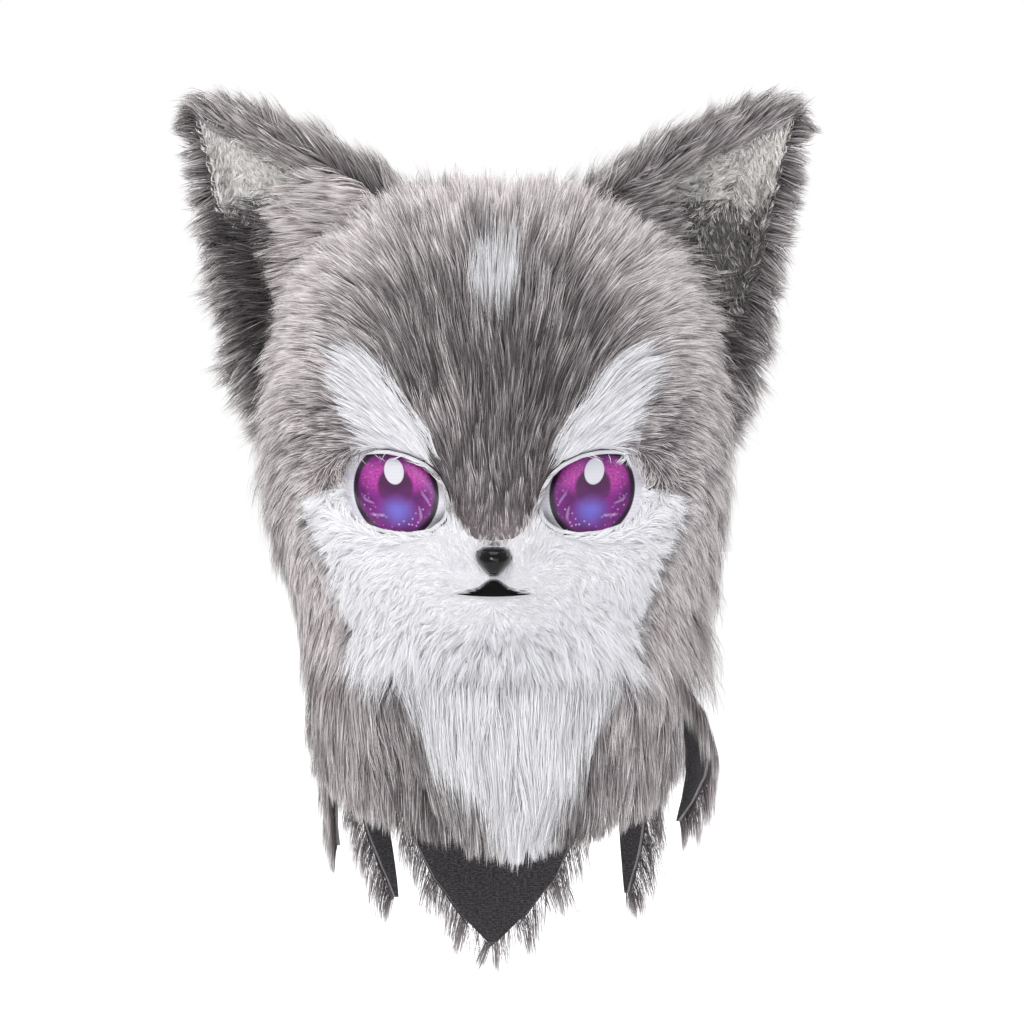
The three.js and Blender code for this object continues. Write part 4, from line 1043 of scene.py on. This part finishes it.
def hanging_pile(name, source, panel, count, length, slot, rng, tone_at, over=0.018, lift=32.0, lean=0.0, within=180.0,
                 stand=1.0):
    """Long pile on a neck panel: it leaves the cloth, hangs down, leans towards the bib's tip and ends past the hem."""
    spots, faces = scatter((source,), int(count * 2.4), rng)
    foot = nearest(node_tree(panel), spots)
    out = (spots - foot) * np.array((1.0, 1.0, 0.25))
    azimuth = np.degrees(np.arctan2(foot[:, 0], -foot[:, 1]))
    keep = np.flatnonzero((np.linalg.norm(out, axis=1) > 0.0035) & (np.abs(azimuth) < within))[:count]
    foot, out, faces, azimuth = foot[keep], out[keep], faces[keep], azimuth[keep]
    radial = foot * np.array((1.0, 1.0, 0.0))
    normals = unit(unit(out) * np.array((1, 1, 0.25)) + faces * np.array((0.4, 0.4, 0.1)) + unit(radial) * 0.8)
    stand = stand * np.interp(foot[:, 2], (-0.34, -0.30, -0.27), (0.7, 0.6, 0.75))
    roots = foot + out * (rng.uniform(0.08, 1.0, len(foot)) * stand)[:, None]

    def lie(here, normals):
        way = np.stack((lean * (0.02 - here[:, 0]) / 0.1, np.zeros(len(here)), np.full(len(here), -1.0)), 1)
        return unit(way - normals * dots(way, normals) * 0.9)

    slot_of = np.floor((azimuth + 180) / 4).astype(int)
    hem = np.zeros(92)
    np.minimum.at(hem, slot_of, foot[:, 2])
    hem = np.maximum(hem - over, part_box(source)[0][2] - 0.007)
    reach = np.clip(roots[:, 2] - hem[slot_of] + 0.003, min(over, 0.014), length)
    spots, tone = grow(roots, normals, lie, reach, rng, lift=lift, rest=2.0, droop=0.5, wander=5.5, tuft=0.007,
                       tuft_pull=0.42, lock=0.024, lock_pull=0.30)
    tone = tone_at + 0.18 * tone[0] + 0.10 * tone[1] + 0.06 * tone[2]
    width = sizes("head_pile").strand_width
    inside = ALL
    if slot == "grey_fur":
        tone = tone + np.interp(roots[:, 2], (-0.32, -0.275), (0.0, 0.20))
        tone = tone + np.interp(np.abs(roots[:, 0]), (0.050, 0.080), (-0.24, 0.12)) * (roots[:, 1] < -0.03)
    else:
        inside = np.ones(len(roots), dtype=bool)
        for spot in spots[2:]:
            left, right = (np.interp(spot[:, 2], BIB_EDGE[:, 0], BIB_EDGE[:, side]) for side in (1, 2))
            stray = rng.normal(0, 0.003, len(roots))
            inside &= (spot[:, 0] > left + stray) & (spot[:, 0] < right + stray)
        build(name + "_border", ~inside, spots, normals, width, tone - 0.28, rng, "grey_fur", "throat_fur_left",
              "throat_fur_right")
    build(name, inside, spots, normals, width, tone, rng, slot, source)


class HEAD_OT_neck_pile(bpy.types.Operator):
    """Grow the bib, the grey throat and the pile outside the neck panels"""
    bl_idname = "head.neck_pile"
    bl_label = "Bib, throat and neck pile"

    def execute(self, context):
        rng = np.random.default_rng(53)
        size = sizes("head_pile")
        panel = "neck_panel_front"
        front = node_tree(panel)
        fleece("bib_backing", "bib_fur", front, 0.25, "white_fur")
        hanging_pile("bib_pile", "bib_fur", panel, size.bib_strands, size.long_pile, "white_fur", rng, 0.62, over=0.013,
                     lift=26.0, lean=0.6)
        for side, within in (("left", 71.0), ("right", 90.0)):
            source = "throat_fur_" + side
            fleece("throat_backing_" + side, source, front, 0.2, "grey_fur")
            hanging_pile("throat_pile_" + side, source, panel, size.throat_strands, size.long_pile, "grey_fur", rng, 0.44,
                         over=0.012, lift=22.0, lean=0.3, within=within, stand=0.8)
        for part, ways in NECK.items():
            panel, source = "neck_panel_" + part, "neck_fur_" + part
            count = size.hem_strands * (2 if part == "back" else 1)
            fleece("neck_backing_" + part, source, node_tree(panel), 0.15, "grey_fur")
            hanging_pile("neck_pile_" + part, source, panel, count, size.long_pile * 0.85, "grey_fur", rng, 0.72, **ways)
        return {"FINISHED"}


CLOTH_EDGE = 0.0075  # longer edges of the cloth are split


class HEAD_OT_neck_cloth(bpy.types.Operator):
    """Hang the knit backing of the neck panels"""
    bl_idname = "head.neck_cloth"
    bl_label = "Neck cloth"

    def execute(self, context):
        wave = sizes("head_trim").cloth_wave
        noise.seed_set(71)
        for part in ("front", *NECK):
            source = "neck_panel_" + part
            work = bmesh.new()
            work.from_mesh(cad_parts[source].data)
            bmesh.ops.remove_doubles(work, verts=work.verts, dist=1e-5)
            for _ in range(4):
                long_ = [e for e in work.edges if e.calc_length() > CLOTH_EDGE]
                if long_:
                    bmesh.ops.subdivide_edges(work, edges=long_, cuts=1)
            bmesh.ops.triangulate(work, faces=work.faces)
            work.normal_update()
            for face in work.faces:
                middle = face.calc_center_median()
                flat = Vector((middle.x, middle.y, 0)).normalized()
                face.material_index = 0 if abs(face.normal.dot(flat)) > 0.62 else 1
                face.smooth = True
            for vert in work.verts:
                drop = min(max((-0.272 - vert.co.z) / 0.05, 0.0), 1.0)
                vert.co += noise.noise_vector(vert.co * 26.0) * wave * drop
            mesh = bpy.data.meshes.new("neck_cloth_" + part)
            work.to_mesh(mesh)
            work.free()
            mesh.materials.append(finish_named("knit backing"))
            mesh.materials.append(finish_named("cut edge"))
            piece = link("neck_cloth_" + part, mesh)
            hand_over(piece, "backing", source)
            low, high = (Vector(c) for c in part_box(source))
            drop = (high.z - low.z) * 1.02
        return {"FINISHED"}


def eye_material(side, sign, low, high):
    """The printed mesh: white ground, plum-rimmed iris with a soft glow, pupil and highlight, over a fine weave."""
    trim = sizes("head_trim")
    made, tree, shader = material("eye print " + side, 0.42, 0.45, coat=0.12, coat_roughness=0.3)
    sums, times, ramp, blend = (partial(make, tree) for make in (maths, product, span, blend_colours))
    u, v, _ = palette_place(tree)
    x = sums("MULTIPLY_ADD", u, (high[0] - low[0]) * sign, (low[0] - trim.iris_centre_x * sign) * sign)
    z = sums("MULTIPLY_ADD", v, high[2] - low[2], low[2] - trim.iris_centre_z)
    x = sums("SUBTRACT", x, times(z, 0.10))

    def oval(cx, cz, rx, rz):
        dx = sums("DIVIDE", sums("SUBTRACT", x, cx), rx)
        dz = sums("DIVIDE", sums("SUBTRACT", z, cz), rz)
        return sums("SQRT", sums("ADD", times(dx, dx), times(dz, dz)))

    def ring(start, full, fading, end):
        return times(ramp(round_, start, full), ramp(round_, fading, end, 1.0, 0.0))

    round_ = oval(0.0, 0.0, trim.iris_half_width, trim.iris_half_height)
    cells = vector(tree, x, z, 0.0)
    spray = ramp(cloudy(tree, cells, 700.0, 3.0, 0.7), 0.38, 0.62, 0.35, 1.0)
    centre = blend(ramp(cloudy(tree, cells, 110.0, 2.0), 0.35, 0.65), dim(trim.iris, 0.55), trim.iris)
    patches = [times(ramp(oval(cx, 0.010, 0.014, 0.014), 0.2, 1.0, 1.0, 0.0), spray) for cx in (0.012, -0.012)]
    centre = blend(sums("MAXIMUM", *patches), centre, (0.56, 0.06, 0.42))
    centre = blend(ramp(oval(0.0, -0.0115, 0.0145, 0.0135), 0.0, 1.0, 0.80, 0.0), centre, trim.glow)
    pupil = times(ramp(oval(0.0, 0.0030, 0.0115, 0.0125), 0.84, 1.04, 1.0, 0.0), ramp(z, -0.010, 0.006, 0.10, 0.95))
    centre = blend(pupil, centre, (0.050, 0.004, 0.050))
    inputs = {"Vector": cells, "Scale": 330.0, "Randomness": 1.0}
    dotted = node(tree, "ShaderNodeTexVoronoi", inputs).outputs["Distance"]
    flecks = times(times(ramp(dotted, 0.16, 0.26, 1.0, 0.0), ring(0.55, 0.66, 0.84, 0.92)), ramp(z, -0.024, 0.004, 0.9, 0.25))
    centre = blend(flecks, centre, (0.55, 0.40, 0.85))
    angle = sums("ARCTAN2", x, z)
    curl = sums("MULTIPLY_ADD", sums("SINE", times(angle, 3.0)), 2.2, times(round_, 15.0))
    strokes = ramp(sums("SINE", sums("MULTIPLY_ADD", angle, 6.0, curl)), 0.62, 1.0)
    strokes = times(times(strokes, ring(0.56, 0.64, 0.76, 0.84)), ramp(z, -0.006, 0.012, 0.42, 0.0))
    centre = blend(strokes, centre, (0.62, 0.40, 0.78))
    centre = blend(ramp(round_, 0.85, 0.93), centre, (0.014, 0.001, 0.018))
    shine = ramp(oval(0.0, 0.0125, 0.0060, 0.0080), 0.95, 1.06, 1.0, 0.0)
    centre = blend(shine, centre, (0.70, 0.70, 0.76))
    lines, posts = (sums("SINE", times(way, 2 * math.pi / WEAVE)) for way in (z, x))
    ground = blend(ramp(lines, -1.0, 1.0), (0.66, 0.65, 0.71), (0.82, 0.82, 0.88))
    whole = blend(ramp(round_, 0.99, 1.02), centre, ground)
    feed(tree, shader.inputs, {"Base Color": shaded(tree, whole, ramp(lines, -1.0, 1.0, 0.86, 1.0))})
    bumped(tree, shader, sums("ADD", lines, posts), 0.25, 0.0001)
    return made


WEAVE = 0.00085  # from thread to thread of the eye mesh
EYE_PITCH = 0.0012


class HEAD_OT_eyes(bpy.types.Operator):
    """Stretch the printed eye mesh behind its felt rims"""
    bl_idname = "head.eyes"
    bl_label = "Printed eyes"

    def execute(self, context):
        for side, sign in (("left", 1.0), ("right", -1.0)):
            source = "eye_mesh_" + side
            low, high = (np.array(c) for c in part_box(source))
            tree = node_tree(source)
            pitch = EYE_PITCH
            columns, rows = int((high[0] - low[0]) / pitch) + 1, int((high[2] - low[2]) / pitch) + 1
            depth = np.full((rows, columns), np.nan)
            for j in range(rows):
                for i in range(columns):
                    hit = tree.ray_cast((low[0] + i * pitch, low[1] - 0.05, low[2] + j * pitch), (0, 1, 0))[0]
                    if hit is not None:
                        depth[j, i] = hit.y
            known = ~np.isnan(depth)
            filled = np.where(known, depth, np.nanmean(depth))
            for _ in range(60):
                spread = (np.vstack((filled[:1], filled[:-1])) + np.vstack((filled[1:], filled[-1:]))
                          + np.hstack((filled[:, :1], filled[:, :-1])) + np.hstack((filled[:, 1:], filled[:, -1:]))) / 4
                filled = np.where(known, filled * 0.6 + spread * 0.4, spread)
            for _ in range(2):
                padded = np.pad(known, 1)
                known = padded[1:-1, 1:-1] | padded[:-2, 1:-1] | padded[2:, 1:-1] | padded[1:-1, :-2] | padded[1:-1, 2:]
            work = bmesh.new()
            palette = work.loops.layers.uv.new(PALETTE)
            grid = {}
            for j in range(rows):
                for i in range(columns):
                    if known[j, i]:
                        grid[i, j] = work.verts.new((low[0] + i * pitch, filled[j, i] - 0.0002, low[2] + j * pitch))
            for i, j in list(grid):
                corners = [(i, j), (i + 1, j), (i + 1, j + 1), (i, j + 1)]
                if all(c in grid for c in corners):
                    face = work.faces.new([grid[c] for c in corners])
                    face.smooth = True
                    for loop in face.loops:
                        x, _, z = loop.vert.co
                        loop[palette].uv = ((x - low[0]) / (high[0] - low[0]), (z - low[2]) / (high[2] - low[2]))
            bmesh.ops.delete(work, geom=[v for v in work.verts if not v.link_faces], context="VERTS")
            area = sum(f.calc_area() for f in work.faces)
            mesh = bpy.data.meshes.new("eye_print_" + side)
            work.to_mesh(mesh)
            work.free()
            mesh.materials.append(eye_material(side, sign, low, high))
            piece = link("eye_print_" + side, mesh)
            hand_over(piece, "eye_mesh", source)
            rim = rounded_copy("eye_felt_" + side, "eye_rim_" + side, 1, "eye felt", crease=0.8)
            hand_over(rim, "eye_rim", "eye_rim_" + side)
        return {"FINISHED"}


def rounded_copy(name, source, levels, finish, crease=0.0):
    """A subdivided copy of a CAD node whose own form is right but faceted."""
    work = bmesh.new()
    work.from_mesh(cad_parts[source].data)
    bmesh.ops.remove_doubles(work, verts=work.verts, dist=1e-5)
    bmesh.ops.join_triangles(work, faces=work.faces, angle_face_threshold=0.9, angle_shape_threshold=1.2)
    edge_crease = work.edges.layers.float.new("crease_edge")
    for edge in work.edges:
        if len(edge.link_faces) == 2 and edge.calc_face_angle() > 1.0:
            edge[edge_crease] = crease
    for face in work.faces:
        face.smooth = True
    mesh = bpy.data.meshes.new(name)
    work.to_mesh(mesh)
    work.free()
    mesh.materials.clear()
    mesh.materials.append(finish_named(finish))
    made = link(name, mesh)
    smooth = made.modifiers.new("Rounding", "SUBSURF")
    smooth.levels = smooth.render_levels = levels
    return made


NOSE_POINTS, NOSE_RINGS = 64, 15
MOUTH_ROWS, MOUTH_COLUMNS = 7, 61


def nose_ring(row, column):
    """Number of a point of the nose. Point 0 is its front."""
    return 1 + row * NOSE_POINTS + column % NOSE_POINTS


def nose_mesh():
    """A domed button with the outline of the CAD's nose, and its edge carried straight back."""
    low, high = (np.array(c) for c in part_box("nose"))
    middle, deep = (low + high) / 2, high[1] - low[1]
    angles = np.linspace(0, 2 * math.pi, NOSE_POINTS, endpoint=False)
    ways = np.stack((np.cos(angles), np.sin(angles)), 1)
    support = ((node_mesh("nose")[0] - middle)[:, (0, 2)] @ ways.T).max(0)
    edge = np.array([min(reach / max(way @ other, 0.05) for reach, other in zip(support, ways) if way @ other > 0.3)
                     for way in ways])
    for _ in range(3):
        edge = (np.roll(edge, 2) + np.roll(edge, 1) + edge + np.roll(edge, -1) + np.roll(edge, -2)) / 5
    spots = [(middle[0], low[1], middle[2])]
    for share in np.cos(np.linspace(0.0, 1.5, NOSE_RINGS)):
        y = high[1] - deep * (0.3 + 0.7 * math.sqrt(1 - share ** 2))
        for reach, way in zip(edge * share ** 3 + edge.mean() * (1 - share ** 3), ways):
            spots.append((middle[0] + way[0] * reach * share, y, middle[2] + way[1] * reach * share))
    spots += [(x, high[1], z) for x, _, z in spots[1:NOSE_POINTS + 1]]
    joined = [(row, row + 1) for row in range(NOSE_RINGS - 1)] + [(NOSE_RINGS, 0)]
    faces = [(nose_ring(a, k), nose_ring(a, k + 1), nose_ring(b, k + 1), nose_ring(b, k))
             for a, b in joined for k in range(NOSE_POINTS)]
    last = NOSE_RINGS - 1
    faces += [(nose_ring(last, k), nose_ring(last, k + 1), 0) for k in range(NOSE_POINTS)]
    mesh = bpy.data.meshes.new("nose_button")
    mesh.from_pydata(spots, [], faces)
    for face in mesh.polygons:
        face.use_smooth = True
    return mesh


def mouth_mesh():
    """A thin curved strip of felt just over the skin, a little sunk along its middle."""
    across = np.linspace(-MOUTH_HALF, MOUTH_HALF, MOUTH_COLUMNS)
    low, top = mouth_edges(across)
    ahead = np.full(MOUTH_COLUMNS, -0.16)
    spots = np.concatenate([np.stack((across, ahead, low + (top - low) * j / (MOUTH_ROWS - 1)), 1) for j in range(MOUTH_ROWS)])
    foot, normals = skin()[0].under(spots)
    puff = np.sin(np.linspace(0, math.pi, MOUTH_ROWS)).repeat(MOUTH_COLUMNS)
    puff = puff * np.tile(np.cos(across / MOUTH_HALF * math.pi / 2), MOUTH_ROWS)
    spots[:, 1] = foot[:, 1] + normals[:, 1] * (0.0078 - 0.0014 * puff)
    corners = [j * MOUTH_COLUMNS + i for j in range(MOUTH_ROWS - 1) for i in range(MOUTH_COLUMNS - 1)]
    faces = [(c, c + 1, c + MOUTH_COLUMNS + 1, c + MOUTH_COLUMNS) for c in corners]
    mesh = bpy.data.meshes.new("mouth_line")
    mesh.from_pydata(spots.tolist(), [], faces)
    return mesh


class HEAD_OT_nose_and_mouth(bpy.types.Operator):
    """Place the gloss nose and the felt of the mouth"""
    bl_idname = "head.nose_and_mouth"
    bl_label = "Nose and mouth"

    def execute(self, context):
        for mesh, finish, slot, source in ((nose_mesh(), "nose gloss", "nose", "nose"),
                                           (mouth_mesh(), "mouth felt", "felt", "mouth_felt")):
            mesh.materials.append(finish_named(finish))
            hand_over(link(mesh.name, mesh), slot, source)
        return {"FINISHED"}


class HEAD_OT_stage(bpy.types.Operator):
    """Set the plain floor, the soft lights and the camera"""
    bl_idname = "head.stage"
    bl_label = "Stage"

    def execute(self, context):
        size = sizes("head_stage")
        half = size.floor_size / 2
        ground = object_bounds()[0][2] - 0.002
        mesh = bpy.data.meshes.new("floor")
        corners = [(x * half, y * half, ground) for x, y in ((-1, -1), (1, -1), (1, 1), (-1, 1))]
        mesh.from_pydata(corners, [], [(0, 1, 2, 3)])
        mesh.materials.append(finish_named("floor"))
        link("floor", mesh)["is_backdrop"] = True
        for name, spot, wide, power, colour in (
            ("key", (-0.9, -1.6, 1.0), 0.8, 13.5, (1.0, 0.99, 0.98)),
            ("fill", (1.2, -1.9, 0.4), 1.4, 8.5, (0.97, 0.98, 1.0)),
            ("front", (0.0, -2.6, 1.0), 1.6, 15.0, (1.0, 1.0, 1.0)),
            ("top", (0.0, 0.2, 1.6), 1.4, 13.0, (1.0, 1.0, 1.0)),
            ("spark", (-0.7, -2.0, 0.9), 0.35, 8.0, (1.0, 1.0, 1.0)),
            ("rim_left", (1.5, 1.2, 0.5), 0.8, 6.0, (1.0, 1.0, 1.0)),
            ("rim_right", (-1.5, 1.2, 0.5), 0.8, 6.0, (1.0, 1.0, 1.0)),
        ):
            data = bpy.data.lights.new(name, "AREA")
            data.shape, data.size, data.energy, data.color = "SQUARE", wide, power, colour
            lamp = bpy.data.objects.new(name, data)
            lamp.location = spot
            lamp.rotation_euler = (Vector((0, 0, -0.15)) - Vector(spot)).to_track_quat("-Z", "Y").to_euler()
            context.scene.collection.objects.link(lamp)
        world = bpy.data.worlds.new("studio")
        world.use_nodes = True
        sky = world.node_tree.nodes["Background"]
        seen = node(world.node_tree, "ShaderNodeLightPath").outputs["Is Camera Ray"]
        strength = span(world.node_tree, seen, 0.0, 1.0, 0.40, 1.0, smooth=False)
        feed(world.node_tree, sky.inputs, {"Color": WHITE, "Strength": strength})
        context.scene.world = world
        context.scene.view_settings.view_transform = "Standard"
        data = bpy.data.cameras.new("camera")
        data.lens, data.sensor_width, data.clip_end = size.lens, 36.0, 200.0
        camera = bpy.data.objects.new("camera", data)
        camera.location = (0.0109, -size.camera_distance, -0.1754)
        camera.rotation_euler = (math.radians(90), 0.0, 0.0)
        context.scene.collection.objects.link(camera)
        context.scene.camera = camera
        return {"FINISHED"}


PIECES = (HEAD_OT_foam, HEAD_OT_head_pile, HEAD_OT_ears, HEAD_OT_neck_pile, HEAD_OT_neck_cloth,
          HEAD_OT_eyes, HEAD_OT_nose_and_mouth, HEAD_OT_stage)


class HEAD_PT_pieces(bpy.types.Panel):
    bl_idname = "HEAD_PT_pieces"
    bl_label = "Fursuit head"
    bl_space_type = "VIEW_3D"
    bl_region_type = "UI"
    bl_category = "Head"

    def draw(self, context):
        for piece in PIECES:
            self.layout.operator(piece.bl_idname)
        for group, _ in GROUPS:
            settings = getattr(context.scene, group)
            box = self.layout.box()
            for name in settings.bl_rna.properties.keys():
                if name not in ("rna_type", "name"):
                    box.prop(settings, name)


GROUPS = (("head_pile", HeadPileSizes), ("head_colours", HeadPileColours), ("head_trim", HeadTrimSizes),
          ("head_stage", HeadStageSizes))


def register():
    for name, group in GROUPS:
        bpy.utils.register_class(group)
        setattr(bpy.types.Scene, name, PointerProperty(type=group))
    for piece in PIECES + (HEAD_PT_pieces,):
        bpy.utils.register_class(piece)


def unregister():
    for piece in (HEAD_PT_pieces,) + PIECES[::-1]:
        bpy.utils.unregister_class(piece)
    for name, group in GROUPS[::-1]:
        delattr(bpy.types.Scene, name)
        bpy.utils.unregister_class(group)


def main():
    register()
    for piece in PIECES:
        area, step = piece.bl_idname.split(".")
        getattr(getattr(bpy.ops, area), step)()


if __name__ == "__main__":
    main()
